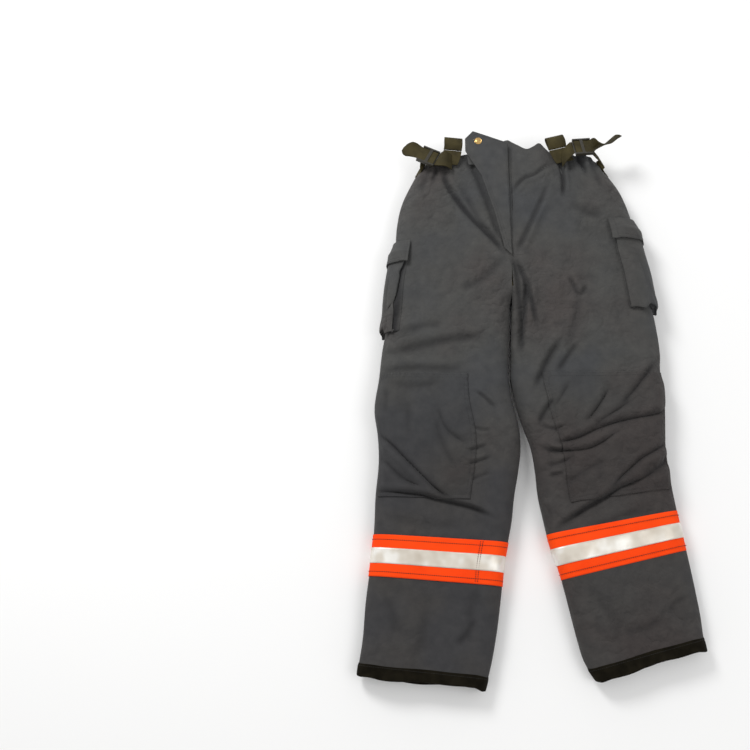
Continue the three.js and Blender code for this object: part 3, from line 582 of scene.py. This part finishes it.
# ---- lining, waist facing and elastic ----
# A quilted thermal lining hangs inside each leg from the waist to a hand above the hem.
# The top is finished with a facing of shell cloth, with elastic behind it at the sides.
lining_material, n, links, shader = new_material("quilted_lining", Roughness=0.9, Sheen_Weight=0.1)
tan = ramp(n, links, noise(n, links, 30), (0.3, (0.34, 0.28, 0.14)), (0.7, (0.44, 0.38, 0.21)))
thread = cloth_weave(n, links, shader, 0.0016, 0.0003)[0]
links.new(weave_shaded(n, links, tan, thread, 0.88, 1.06), shader.inputs["Base Color"])
elastic_material, n, links, shader = new_material("ribbed_elastic", Roughness=0.85)
black = ramp(n, links, noise(n, links, 200), (0.3, (0.012,) * 3), (0.7, (0.025,) * 3))
links.new(black, shader.inputs["Base Color"])
cloth_weave(n, links, shader, 0.0022, 0.0005)
LINING_TOP, LINER_ABOVE_HEM, LINING_IN, QUILT_PITCH, QUILT_RISE = 42, 60, 9, 34, 1.1
for name, leg in LEGS.items():
    def quilted(d, c):
        one_way, other_way = [np.sin((d + s * 240 * c) * math.pi / QUILT_PITCH) for s in (1, -1)]
        quilt = np.abs(one_way * other_way) ** 0.5
        return on_leg(leg, d, c * 0.965, -LINING_IN + QUILT_RISE * quilt)

    for where, sign in (("front", 1), ("back", -1)):
        cols = sign * round_columns(6.5)
        cols[0] = sign * 1e-9
        lining_rows = spaced(LINING_TOP, leg.hem - LINER_ABOVE_HEM, 6.5)
        lining = cloth_grid(f"lining_{where}_piece_{name}", lining_rows, cols, quilted, 1.4)
        face_out(lining, (0, 0, sign))
        dressed(lining, lining_material, f"lining_{where}_{name}", "trousers")
    half = round_columns(4)
    all_round = np.concatenate([half[::-1], -half[1:]])
    facing = cloth_grid(
        f"waist_facing_piece_{name}", spaced(1.5, 41, 4), all_round,
        lambda d, c: on_leg(leg, d, c, -1.5), 0.8,
    )
    face_out(facing, (0, 0, 0))
    elastic = cloth_grid(
        f"waist_elastic_piece_{name}", spaced(8, 32, 3), all_round[(all_round > -0.68) & (all_round < 0.25)],
        lambda d, c: on_leg(leg, d, c, -2.7), 1.0,
    )
    for piece, node, made, slot in ((facing, "waist_facing", shell_material, "shell_cloth"),
                                    (elastic, "waist_elastic", elastic_material, "hook_loop")):
        dressed(piece, made, f"{node}_{name}", "trousers")


# ---- calf bands ----
# Woven fluorescent orange tape round each calf, with a stripe of silver retroreflective film down its middle.
# Lockstitched along both edges; the right band's end is lapped and sewn down with two rows.
def stitched(name, paths, made, body, long=2.8, pitch=3.9, wide=0.55):
    """Rows of short thread stitches. Each path is its points, in millimetres, and the ways out of the cloth."""
    bm = bmesh.new()
    for line, out in paths:
        reach = np.concatenate([[0], np.cumsum(np.linalg.norm(np.diff(line, axis=0), axis=1))])
        for at in np.arange(pitch / 2, reach[-1] - pitch / 2, pitch):
            mid, ahead, up = [
                Vector([float(np.interp(s, reach, part[:, k])) for k in range(3)])
                for s, part in ((at, line), (at + 1, line), (at, out))
            ]
            run_way = (ahead - mid).normalized()
            side = run_way.cross(up).normalized()
            up = side.cross(run_way)
            place = Matrix.Identity(4)
            for k, axis in enumerate((run_way * long, side * wide, up * wide)):
                place.col[k][:3] = axis / 2000
            place.col[3][:3] = in_frame(mid + up * 0.12)
            bmesh.ops.create_icosphere(bm, subdivisions=1, radius=1, matrix=place)
    piece = new_object(name, mesh_from(name, bm))
    piece.data.polygons.foreach_set("use_smooth", [True] * len(piece.data.polygons))
    piece.data.materials.append(made)
    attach(piece, body)
    return piece


def above_floor(points, low):
    points[..., 2] = np.maximum(points[..., 2], low)
    return points


def sewing_line(leg, d, c, off):
    """A line on a leg, from knots of d and c, with its directions out of the cloth."""
    d, c = np.array(d, float), np.array(c, float)
    fine = np.linspace(0, len(d) - 1, 120)
    d, c = np.interp(fine, np.arange(len(d)), d), np.interp(fine, np.arange(len(c)), c)
    off = np.interp(fine, np.linspace(0, len(d) - 1, np.size(off)), off) if np.ndim(off) else off
    return above_floor(on_leg(leg, d, c, off), 0.3), facing_out(leg, lambda a, b: folded(leg, a, b), d, c)


def plain(name, color, roughness, spread=0.25, scale=90, **more):
    """A finish with a fine mottle and bump of its own."""
    made, n, links, shader = new_material(name, Roughness=roughness, **more)
    low, high = [tuple(v * k for v in color) for k in (1 - spread, 1 + spread)]
    grainy = noise(n, links, scale, 5)
    links.new(ramp(n, links, grainy, (0.35, low), (0.65, high)), shader.inputs["Base Color"])
    bump = n.new("ShaderNodeBump")
    bump.inputs["Strength"].default_value, bump.inputs["Distance"].default_value = 0.35, 0.0004
    links.new(grainy, bump.inputs["Height"])
    links.new(bump.outputs["Normal"], shader.inputs["Normal"])
    return made


orange_material, n, links, shader = new_material("orange_tape", Roughness=0.7, Specular_IOR_Level=0.12)
orange = ramp(n, links, noise(n, links, 14, 3), (0.3, (0.90, 0.052, 0.002)), (0.7, (0.99, 0.072, 0.004)))
thread = cloth_weave(n, links, shader, 0.0012, 0.00025)[0]
links.new(weave_shaded(n, links, orange, thread, 0.9, 1.04), shader.inputs["Base Color"])
silver_material, n, links, shader = new_material("silver_film", Roughness=0.38, Metallic=0.25)
wide_shine = noise(n, links, 22, 2)
silver = ((0.35, (0.56, 0.5, 0.42)), (0.5, (0.68, 0.63, 0.55)), (0.62, (0.83, 0.81, 0.76)))
links.new(ramp(n, links, wide_shine, *silver), shader.inputs["Base Color"])
bump = n.new("ShaderNodeBump")
bump.inputs["Strength"].default_value, bump.inputs["Distance"].default_value = 0.4, 0.0012
links.new(noise(n, links, 45, 4), bump.inputs["Height"])
links.new(bump.outputs["Normal"], shader.inputs["Normal"])
rust_thread = plain("rust_thread", (0.075, 0.010, 0.005), 0.7)
dark_thread = plain("dark_thread", (0.028, 0.028, 0.03), 0.7)
TAPE_WIDTH, STRIPE_WIDTH, TAPE_ABOVE_HEM = 76, 28, 210
ROUND = np.concatenate([round_columns(3)[::-1], -round_columns(6)[1:]])
for name, leg in LEGS.items():
    middle = leg.hem - TAPE_ABOVE_HEM
    tape = cloth_grid(
        f"orange_band_{name}", spaced(middle - TAPE_WIDTH / 2, middle + TAPE_WIDTH / 2, 3), ROUND,
        lambda d, c: above_floor(on_leg(leg, d, c, 0.5), 0.95), 0.8, inward=False, closed=True,
    )
    stripe = cloth_grid(
        f"silver_band_{name}", spaced(middle - STRIPE_WIDTH / 2, middle + STRIPE_WIDTH / 2, 2.8), ROUND,
        lambda d, c: above_floor(on_leg(leg, d, c, 1.45 + 0.25 * np.sin(c * 47 + d / 9)), 0.36),
        0.35, inward=False, closed=True,
    )
    for band, node, made, slot in ((tape, "orange_tape", orange_material, "orange_tape"),
                                   (stripe, "silver_stripe", silver_material, "silver_tape")):
        face_out(band, (0, 0, 0))
        dressed(band, made, f"{node}_{name}", "trousers")
    rows = [sewing_line(leg, (middle + s * (TAPE_WIDTH / 2 - 9),) * 2, span, 1.4)
            for s in (-1, 1) for span in ((0, 0.96), (-1e-6, -0.96))]
    if name == "right":
        ends = (middle - TAPE_WIDTH / 2 + 1, middle + TAPE_WIDTH / 2 - 1)
        rows += [sewing_line(leg, ends, (c, c), (1.4, 1.4, 2.1, 2.1, 1.4, 1.4)) for c in (0.655, 0.665)]
    stitched(f"band_stitches_{name}", rows, rust_thread, "trousers", long=3.4, wide=1.5)

# ---- hem cuffs ----
# A band of black hard-wearing cloth folded over the raw hem, outside and inside, and sewn through.
cuff_material, n, links, shader = new_material("cuff_cloth", Roughness=0.8, Specular_IOR_Level=0.08)
links.new(ramp(n, links, noise(n, links, 70, 5), (0.35, (0.004, 0.003, 0.001)), (0.7, (0.010, 0.008, 0.004))),
          shader.inputs["Base Color"])
cloth_weave(n, links, shader, 0.0015, 0.0004)
for name, leg in LEGS.items():
    fold_d = np.array([-20, -15, -10, -5, 0, 1.6, 2.2, 1.6, 0, -6, -12, -20])
    fold_off = np.array([0.5, 1.5, 1.7, 1.7, 1.6, 1.2, -0.6, -2.2, -2.6, -2.7, -2.7, -2.6])
    steps = np.arange(len(fold_d))

    def cuff_shape(k, c):
        sag = 2.2 * np.sin(c * 9 + leg.side) + 1.2 * np.sin(c * 23)
        d = leg.hem + np.interp(k, steps, fold_d) + sag * np.interp(k, steps, [0.4] + [1] * 10 + [0.4])
        return above_floor(on_leg(leg, d, c, np.interp(k, steps, fold_off)), 0.05)

    cuff = cloth_grid(f"cuff_{name}", np.linspace(0, len(fold_d) - 1, 34), ROUND, cuff_shape, closed=True)
    dressed(cuff, cuff_material, f"hem_cuff_{name}", "trousers")
    rows = [sewing_line(leg, (leg.hem - 16,) * 2, span, 1.9) for span in ((0, 0.96), (-1e-6, -0.96))]
    stitched(f"cuff_stitches_{name}", rows, dark_thread, "trousers")

# ---- knee patches ----
# A second layer of shell cloth over each knee, with a thin foam pad under it, sewn all round.
# The sewing draws it into small puckers, and it stands a little proud of the leg.
patch_material = shell_cloth("patch_cloth", 0.9, 0.72)
foam_material = plain("pad_foam", (0.045, 0.045, 0.045), 0.95)
PATCH_LENGTH, PATCH_START = 235, 0.09
ROUND_MM, FLAT_MM = 187, 475  # millimetres of cloth for each 1 of c, at the side and across the front
for name, leg, top, last in (("right", right, 454, 0.588), ("left", left, 451, 0.652)):
    bottom = top + PATCH_LENGTH

    def from_edge(d, c):
        across = (last - c) * np.where(c > ROUND_END, FLAT_MM, ROUND_MM)
        from_seam = (c - PATCH_START) * ROUND_MM * 1.5
        return np.minimum(np.minimum(d - top, bottom - d), np.minimum(across, from_seam))

    def patch_off(d, c):
        edge = from_edge(d, c)
        pucker = np.exp(-np.maximum(edge, 0) / 9) * 0.55
        side_ripple = np.sin(d * 0.5 + 3 * np.sin(d * 0.09)) * (np.abs(last - c) < 0.06)
        ripple = side_ripple + np.sin(c * 210) * (np.abs(d - top) < 22)
        return 0.5 + 2.6 * ease(1, 26, edge) + pucker * (ripple + 1)

    patch = cloth_grid(
        f"knee_cloth_{name}", spaced(top, bottom, 2.4), spaced(PATCH_START, last, 0.0062),
        lambda d, c: on_leg(leg, d, c, patch_off(d, c)), 1.1, inward=False,
        shade=crease_shade(leg),
    )
    pad = cloth_grid(
        f"knee_foam_{name}", spaced(top + 20, bottom - 20, 6), spaced(PATCH_START + 0.06, last - 0.045, 0.014),
        lambda d, c: on_leg(leg, d, c, 0.5), 1.6, inward=False,
    )
    for piece, node, made, slot in ((patch, "knee_patch", patch_material, "shell_cloth"),
                                    (pad, "knee_pad", foam_material, "knee_foam")):
        face_out(piece, (0, 0, 1))
        dressed(piece, made, f"{node}_{name}", "trousers")
    rows = []
    for inset, off in ((3, 2.1), (8, 2.8)):
        step = inset / FLAT_MM
        rows.append(sewing_line(
            leg, (top + inset, top + inset, bottom - inset, bottom - inset),
            (PATCH_START + 0.01, last - step, last - step, PATCH_START + 0.01), off,
        ))
    stitched(f"knee_stitches_{name}", rows, dark_thread, "trousers", pitch=4.2)

# ---- side pockets ----
# Bellows pockets on the outseams: a face of shell cloth on a pleated gusset, open at the top, under a flap
# that hook-and-loop tape holds down. The cloth sags and crumples at the bottom corners.
fastener_material = plain("hook_and_loop", (0.016, 0.016, 0.015), 0.95, 0.5, 900)
POCKET_HEIGHT, MOUTH_DROP, FLAP_DROP = 185, 30, 48
for name, leg, top, front, rear, lean, tuck in (
    ("right", right, 185, 0.225, -0.12, 0.075, 0.045),
    ("left", left, 138, 0.315, -0.07, 0.0, 0.024),
):
    mouth, fall = top + MOUTH_DROP, POCKET_HEIGHT - MOUTH_DROP
    gusset = np.array([
        (front, 0.2), (front - 0.4 * tuck, 1.6), (front - tuck, 3.2), (front - 0.5 * tuck, 4.8),
        (front, 6.4), (front - 0.008, 7.6), (front - 0.04, 8.8), ((front + rear) / 2, 11.2),
        (rear + 0.02, 11), (rear, 9.6), (rear + tuck, 5), (rear, 0.2),
    ])
    knots = np.array([0, 2.5, 5, 7.5, 10, 11.5, 14, 50, 86, 90, 95, 100])
    ends_d = np.array([0, fall - 3, fall, fall - 5, fall])
    ends_off = np.array([1, 1, 0.86, 0.5, 0.02])
    ends_at = np.array([0, 100, 103, 107, 112])

    def bag_shape(k, u):
        c, off = np.interp(u, knots, gusset[:, 0]), np.interp(u, knots, gusset[:, 1])
        down = np.clip(k / 112, 0, 1) * math.pi
        c = c - lean * np.sin(down * 0.8) * (1 - ease(2, 55, u)) * ease(0, 12, u)
        low = ease(55, 112, k)
        sag = 5 * np.sin(u * 0.105 - 0.4) + 2.6 * np.sin(u * 0.23 + 1)
        d = mouth + np.interp(k, ends_at, ends_d) + low * sag
        crumple = low * ease(6, 16, u) * (2.2 * np.sin(u * 0.23 + k * 0.13) + 1.3 * np.sin(u * 0.41 - k * 0.2))
        pleat = 2.2 * np.exp(-(((u - 34 - 0.12 * k) / 4) ** 2)) * ease(20, 45, k) * (1 - ease(80, 100, k))
        belly = 1.8 * np.sin(down) * ease(10, 40, u) * (1 - ease(60, 90, u))
        stand = off * np.interp(k, ends_at, ends_off) + crumple * 0.6 + belly - pleat
        return on_leg(leg, d, c, np.maximum(stand, 0.15))

    # painted shade: a dark line along the gusset's front tuck and along the bag's bottom edge
    bag = cloth_grid(
        f"pocket_{name}", np.linspace(0, 112, 90), np.linspace(0, 100, 96), bag_shape, 1.0,
        shade=lambda k, u: 0.95 * np.exp(-(((u - 4) / 2.6) ** 2)) + 0.5 * np.exp(-(((k - 110) / 4) ** 2)),
    )
    face_out(bag, (leg.side, 0, 1))
    dressed(bag, shell_material, f"pocket_bag_{name}", "trousers")

    def flap_off(d, c):
        down = (top, top + 5, top + 18, top + MOUTH_DROP - 4, top + FLAP_DROP)
        rise = np.interp(d, down, (4.0, 4.8, 8.8, 12.6, 13.4))
        rise = rise * (1 - 0.35 * ease(front - 0.07, front + 0.014, c))
        return rise + 0.9 * np.sin(c * 38 + d * 0.05) * ease(top + 10, top + FLAP_DROP, d)

    flap = cloth_grid(
        f"pocket_cover_{name}", spaced(top + 1.5, top + FLAP_DROP, 2),
        spaced(rear - 0.004, front + 0.014, 0.008),
        lambda d, c: on_leg(leg, d, c, flap_off(d, c)), 1.5, inward=False,
    )
    face_out(flap, (leg.side, 0, 1))
    dressed(flap, shell_material, f"pocket_flap_{name}", f"pocket_flap_{name}")
    low, high = rear + 0.02, front - 0.01
    rows = []
    for inset in (3, 8):
        corners_d = (top + inset, top + FLAP_DROP - inset, top + FLAP_DROP - inset, top + inset)
        corners_c = (high, high, low, low)
        points, out = sewing_line(leg, corners_d, corners_c, 0)
        d, c = [np.interp(np.linspace(0, 3, 120), range(4), corners) for corners in (corners_d, corners_c)]
        rows.append((points + out * (flap_off(d, c) + 1.55)[:, None], out))
    stitched(f"flap_stitches_{name}", rows, dark_thread, f"pocket_flap_{name}")
    strip_rows = spaced(mouth + 3, top + FLAP_DROP - 3, 3)
    strip_cols = spaced(max(rear, 0) + 0.01, front - 0.04, 0.02)
    for node, off, body in (
        ("pocket_loop_strip", 11.8, "trousers"), ("pocket_hook_strip", 12.8, f"pocket_flap_{name}"),
    ):
        strip = cloth_grid(
            f"{node}_piece_{name}", strip_rows, strip_cols, lambda d, c: on_leg(leg, d, c, off), 0.5,
        )
        face_out(strip, (leg.side, 0, 1))
        dressed(strip, fastener_material, f"{node}_{name}", body)

# ---- fly ----
# A storm flap from the left panel laps over the zip and snaps to a tab that stands above the waist.
# It is two layers of shell cloth, topstitched along its free edge, hinged on the seam beside a raised welt.
SEAM_X = -7
FLAP_KNOTS = np.array([0, 0.07, 0.15, 0.19, 0.34, 0.6, 0.93, 1.0])
FREE_EDGE = np.array([
    (-76, 49), (-92, 32), (-92, 5), (-87, -5), (-61, -50), (-37, -131), (-21, -203), (-9, -217),
])
SEAM_EDGE = np.array([22, 15, 2, -6, -52, -131, -203, -217])


def fly_shape(v, u, lift=0.0):
    free_x, free_y = [np.interp(v, FLAP_KNOTS, FREE_EDGE[:, k]) for k in (0, 1)]
    seam_y = np.interp(v, FLAP_KNOTS, SEAM_EDGE)
    x, y = SEAM_X + (free_x - SEAM_X) * u, seam_y + (free_y - seam_y) * u
    wave = 0.7 * np.sin(y / 17 + 2 * u) * u + 0.9 * np.sin(x / 13 + y / 40)
    curl = 1.6 * ease(0.75, 1, u) * ease(0.1, 0.3, v) * (1 - ease(0.75, 1, v)) - 2.6 * (1 - ease(0, 0.09, u))
    z = 64.7 - 1.9 * u + 0.8 * np.sin(u * math.pi) + wave * ease(0, 0.3, u) * 0.6 + curl + lift
    return np.stack([x, y, z], -1)


fly_rows = np.unique(np.concatenate([spaced(0, 1, 0.009), FLAP_KNOTS]))
fly_cloth = cloth_grid("storm_flap", fly_rows, spaced(0, 1, 0.028), fly_shape, 1.3)
face_out(fly_cloth, (0, 0, 1))
dressed(fly_cloth, shell_material, "fly_flap", "fly_flap")
ups = np.tile((0.0, 0.0, 1.0), (160, 1))
rows = []
for margin in (4, 9):
    v = np.linspace(0.0, 0.955, 160)
    free_x = np.interp(v, FLAP_KNOTS, FREE_EDGE[:, 0])
    rows.append((fly_shape(v, 1 - margin / np.maximum(SEAM_X - free_x, 10)) + (0, 0, 0.05), ups))
v = np.full(160, 0.02)
rows.append((fly_shape(v, np.linspace(0.06, 0.94, 160), 0.05), ups))
stitched("storm_flap_stitches", rows, dark_thread, "fly_flap")


def welt_shape(d, c):
    rise = np.interp(c, (0.74, 0.82, 0.88, 0.92, 0.96, 1), (-2.2, -0.6, 1.2, 1.7, 0.2, -2.2))
    return on_leg(left, d, c, rise * (1 - ease(185, 217, d)))


welt = cloth_grid("fly_facing", spaced(0, 217, 3), spaced(0.74, 1, 0.02), welt_shape, 1.0)
tab_free = np.array([(-72, 42), (-88, 30), (-88, -8), (-86, -24)])
tab_seam = np.array([16, 10, -8, -24])
TAB_SEAM_X, TAB_LEVEL = -20.2, 60.1


def tab_shape(v, u):
    free_x, free_y = [np.interp(v, range(4), tab_free[:, k]) for k in (0, 1)]
    x, y = TAB_SEAM_X + (free_x - TAB_SEAM_X) * u, np.interp(v, range(4), tab_seam) * (1 - u) + free_y * u
    return np.stack([x, y, np.full_like(x, TAB_LEVEL)], -1)


tab = cloth_grid("fly_tab", spaced(0, 3, 0.1), spaced(0, 1, 0.05), tab_shape, 1.3)
for piece, node in ((welt, "fly_welt"), (tab, "underlap_tab")):
    face_out(piece, (0, 0, 1))
    dressed(piece, shell_material, node, "trousers")

# ---- snap and zip ----
# A worn brass snap, its cap pressed from sheet with a rolled rim, and a brass zip on black tape under the flap.
brass_material = plain("worn_brass", (0.62, 0.40, 0.15), 0.3, 0.3, 400, Metallic=1.0)
bm = bmesh.new()
profile = [
    (0, 2.0), (2.6, 1.95), (4.8, 1.6), (5.8, 1.0), (6.1, 1.25), (6.7, 1.5), (7.2, 1.2), (7.4, 0.6),
    (7.2, 0.1), (0, 0),
]
line = [bm.verts.new((r / 1000, 0, z / 1000)) for r, z in profile]
edges = [bm.edges.new(pair) for pair in zip(line, line[1:])]
bmesh.ops.spin(bm, geom=line + edges, cent=(0, 0, 0), axis=(0, 0, 1), angle=math.tau, steps=48, use_merge=True)
bmesh.ops.remove_doubles(bm, verts=bm.verts, dist=1e-6)
bmesh.ops.recalc_face_normals(bm, faces=bm.faces)
bmesh.ops.translate(bm, verts=bm.verts, vec=in_frame((-66, 26, 64.2)))
cap = new_object("snap_button", mesh_from("snap_button", bm))
cap.data.polygons.foreach_set("use_smooth", [True] * len(cap.data.polygons))
dressed(cap, brass_material, "snap_cap", "fly_flap")
for node in (
    "snap_socket", "snap_stud", "zip_teeth_right", "zip_teeth_left",
    "zip_slider", "zip_pull", "zip_bottom_stop",
):
    nodes[node].data.materials.clear()
    nodes[node].data.materials.append(brass_material)
tape_material = plain("zip_tape_cloth", (0.016, 0.016, 0.016), 0.9, 0.3, 700)
for node in ("zip_tape_right", "zip_tape_left"):
    nodes[node].data.materials.clear()
    nodes[node].data.materials.append(tape_material)


# ---- webbing: suspender loops and take-up straps ----
# Black nylon webbing faded towards olive, with a ribbed weave. Each loop takes a suspender's end, and a
# strap beside it runs through a ladder buckle to draw the waist in, its loose tail hanging free.
def ribbon(name, stations, width, thick, count=40):
    """A strap along stations of a middle point and the direction its width lies in, in millimetres."""
    at = np.arange(len(stations))
    mids, ways = [np.array([s[k] for s in stations], float) for k in (0, 1)]
    widths = np.array([s[2] if len(s) > 2 else 1.0 for s in stations])

    def shape(t, w):
        mid = np.stack([smooth(*zip(at, mids[:, k]))(t) for k in range(3)], -1)
        way = np.stack([smooth(*zip(at, ways[:, k]))(t) for k in range(3)], -1)
        way /= np.linalg.norm(way, axis=-1, keepdims=True)
        return mid + way * (w * width / 2 * np.interp(t, at, widths))[..., None]

    piece = cloth_grid(name, np.linspace(0, len(stations) - 1, count), np.linspace(-1, 1, 13), shape, thick)
    piece.modifiers["thickness"].offset = 0
    edge = piece.modifiers.new("worn_edge", "BEVEL")
    edge.width, edge.segments, edge.limit_method = 0.0004, 2, "ANGLE"
    return piece


webbing_material, n, links, shader = new_material("webbing", Roughness=0.78, Specular_IOR_Level=0.25)
faded = ramp(n, links, noise(n, links, 40, 4), (0.3, (0.022, 0.017, 0.004)), (0.7, (0.048, 0.038, 0.012)))
thread = cloth_weave(n, links, shader, 0.0023, 0.0007)[0]
links.new(weave_shaded(n, links, faded, thread, 0.6, 1.25), shader.inputs["Base Color"])
buckle_material = plain("buckle_plastic", (0.022, 0.019, 0.012), 0.38, 0.25, 300)
WEB, WEB_THICK, SEWN_THICK = 36, 1.6, 1.7
BUCKLE_LEAN, BUCKLE_ROLL, BUCKLE_BACK, BUCKLE_DOWN, BUCKLE_LEVEL = 22, 28, 6, 3, 61.0
ANCHOR_RISE = ((-32, 0.4), (-24, 1.3), (-13, 1.6), (-5, 0.9), (-0.8, -1.1))
TEARDROP = (
    (0.8, 0.9), (5, 3.2), (11, 5.6), (18, 6.0), (23.5, 4.6), (26.6, 0.6), (25, -4.0), (19, -5.6),
    (11, -5.0), (4, -2.6), (0.8, -0.9),
)


def webbed(piece, node, body):
    dressed(piece, webbing_material, node, body)


for name, leg, (lx, ly, turn), (bx, by, yaw), start in (
    ("right", right, (-117, 8, -6), (-166, -1, 156), (-120, -20)),
    ("left", left, (93, 12, 14), (143, 20, 4), (100, -14)),
):
    c, s = math.cos(math.radians(turn)), math.sin(math.radians(turn))
    local = lambda x, y, z: (lx + x * c - y * s, ly + x * s + y * c, 59.4 + z)
    across = (c, s, 0)
    sewn = [(local(leg.side * 6 * (y / 32) ** 2, y, z), across) for y, z in ANCHOR_RISE]
    anchor = ribbon(f"loop_anchor_{name}", sewn, WEB, SEWN_THICK)
    webbed(anchor, f"suspender_anchor_{name}", "trousers")
    round_loop = [(local(0.6 * math.sin(y / 6), y, z), across) for y, z in TEARDROP]
    loop = ribbon(f"loop_{name}", round_loop, WEB, WEB_THICK, 60)
    webbed(loop, f"suspender_loop_{name}", f"suspender_loop_{name}")
    # the buckle's own directions: u out along the strap, v across it, n out of its face
    a, tilt = math.radians(yaw), math.radians(BUCKLE_LEAN)
    u = np.array([math.cos(a), math.sin(a), 0])
    up_way = np.array([-leg.side * u[1], leg.side * u[0], 0])
    v = up_way * math.cos(tilt) - np.array([0, 0, math.sin(tilt)])
    n_way = up_way * math.sin(tilt) + np.array([0, 0, math.cos(tilt)])
    origin = np.array([bx, by - BUCKLE_BACK, BUCKLE_LEVEL]) - u * 18
    at = lambda p, q, r: origin + u * p + v * q + n_way * r
    y_way = np.array([0.0, 1, 0])
    first, last = np.array([start[0], start[1], 62.2]), at(-0.9, 0, 0)
    strap = []
    for t in (0, 0.2, 0.4, 0.6, 0.8, 1):
        mid = first + (last - first) * t
        mid[2] += 11 * math.sin(math.pi * t)
        way = y_way * (1 - t**3) + v * t**3
        strap.append((mid, way / np.linalg.norm(way)))
    webbed(ribbon(f"take_up_{name}", strap, WEB * 0.92, SEWN_THICK), f"take_up_strap_{name}", "trousers")
    if name == "right":
        tail = [
            (at(2, 0, 1.8), v), (at(20, 0, 1.8), v), (at(37, 0, 1.8), v),
            (at(50, -1, 3.4), v * 0.9 + n_way * 0.2),
            (at(59, -3, 3.0), v * 0.9 + n_way * 0.3), (at(66, -5, 1), v * 0.8 + n_way * 0.3, 0.7),
            (at(71, -6, -1), v, 0.3),
        ]
    else:
        on_edge = np.array([0.05, -0.28, 0.95])
        tail = [
            (at(2, 0, 1.8), v), (at(20, 0, 1.8), v), (at(34, 0, 1.8), v),
            (at(44, -2, 3), v * 0.5 + on_edge, 0.8),
            (at(56, -4, 5), on_edge, 0.7), (at(66, 1, 7), on_edge + v * 0.1, 0.8),
            (at(80, 8, 9), on_edge + v * 0.35, 0.8), (at(90, 12, 10), on_edge + v * 0.2, 0.6),
            (at(97, 14, 10), on_edge, 0.2),
        ]
    webbed(ribbon(f"loose_tail_{name}", tail, WEB, WEB_THICK, 60), f"strap_tail_{name}", f"strap_tail_{name}")
    seat = on_leg(leg, np.array([17.0, 13.0]), np.array([0.06, 0.15]), 1.2)
    seam_top, seam_below = on_leg(leg, np.array([2.0, 38.0]), np.array([0.0, 0.0]), 1)
    side_way = seam_top - seam_below
    side_way /= np.linalg.norm(side_way)
    under = at(30, 4, -4.2)
    lift = seat[1] + (leg.side * 2, 6, 6)
    stations = [(seat[0], side_way), (seat[1], side_way), (lift, side_way * 0.5 + v * 0.5), (under, v)]
    webbed(ribbon(f"side_strap_piece_{name}", stations, WEB * 0.6, WEB_THICK), f"side_strap_{name}", "trousers")
    # the ladder buckle keeps its solid's shape, with its corners rounded, but lies flatter and lower
    bm = bmesh.new()
    bm.from_mesh(nodes[f"buckle_{name}"].data)
    bmesh.ops.remove_doubles(bm, verts=bm.verts, dist=2e-5)
    bmesh.ops.dissolve_limit(bm, angle_limit=math.radians(2), verts=bm.verts, edges=bm.edges)
    hub = Vector(in_frame(origin).tolist())
    bmesh.ops.translate(bm, verts=bm.verts, vec=(0, -BUCKLE_BACK / 1000, -BUCKLE_DOWN / 1000))
    roll = Matrix.Rotation(math.radians(BUCKLE_ROLL * leg.side), 3, Vector(u.tolist()))
    bmesh.ops.rotate(bm, verts=bm.verts, cent=hub, matrix=roll)
    sharp = [e for e in bm.edges if e.is_manifold and e.calc_face_angle(0) > 0.6]
    bmesh.ops.bevel(
        bm, geom=sharp, offset=0.0006, segments=2, profile=0.5, affect="EDGES", material=-1, clamp_overlap=True,
    )
    bmesh.ops.recalc_face_normals(bm, faces=bm.faces)
    buckle = new_object(f"ladder_buckle_{name}", mesh_from(f"ladder_buckle_{name}", bm))
    dressed(buckle, buckle_material, f"buckle_{name}", f"buckle_{name}")
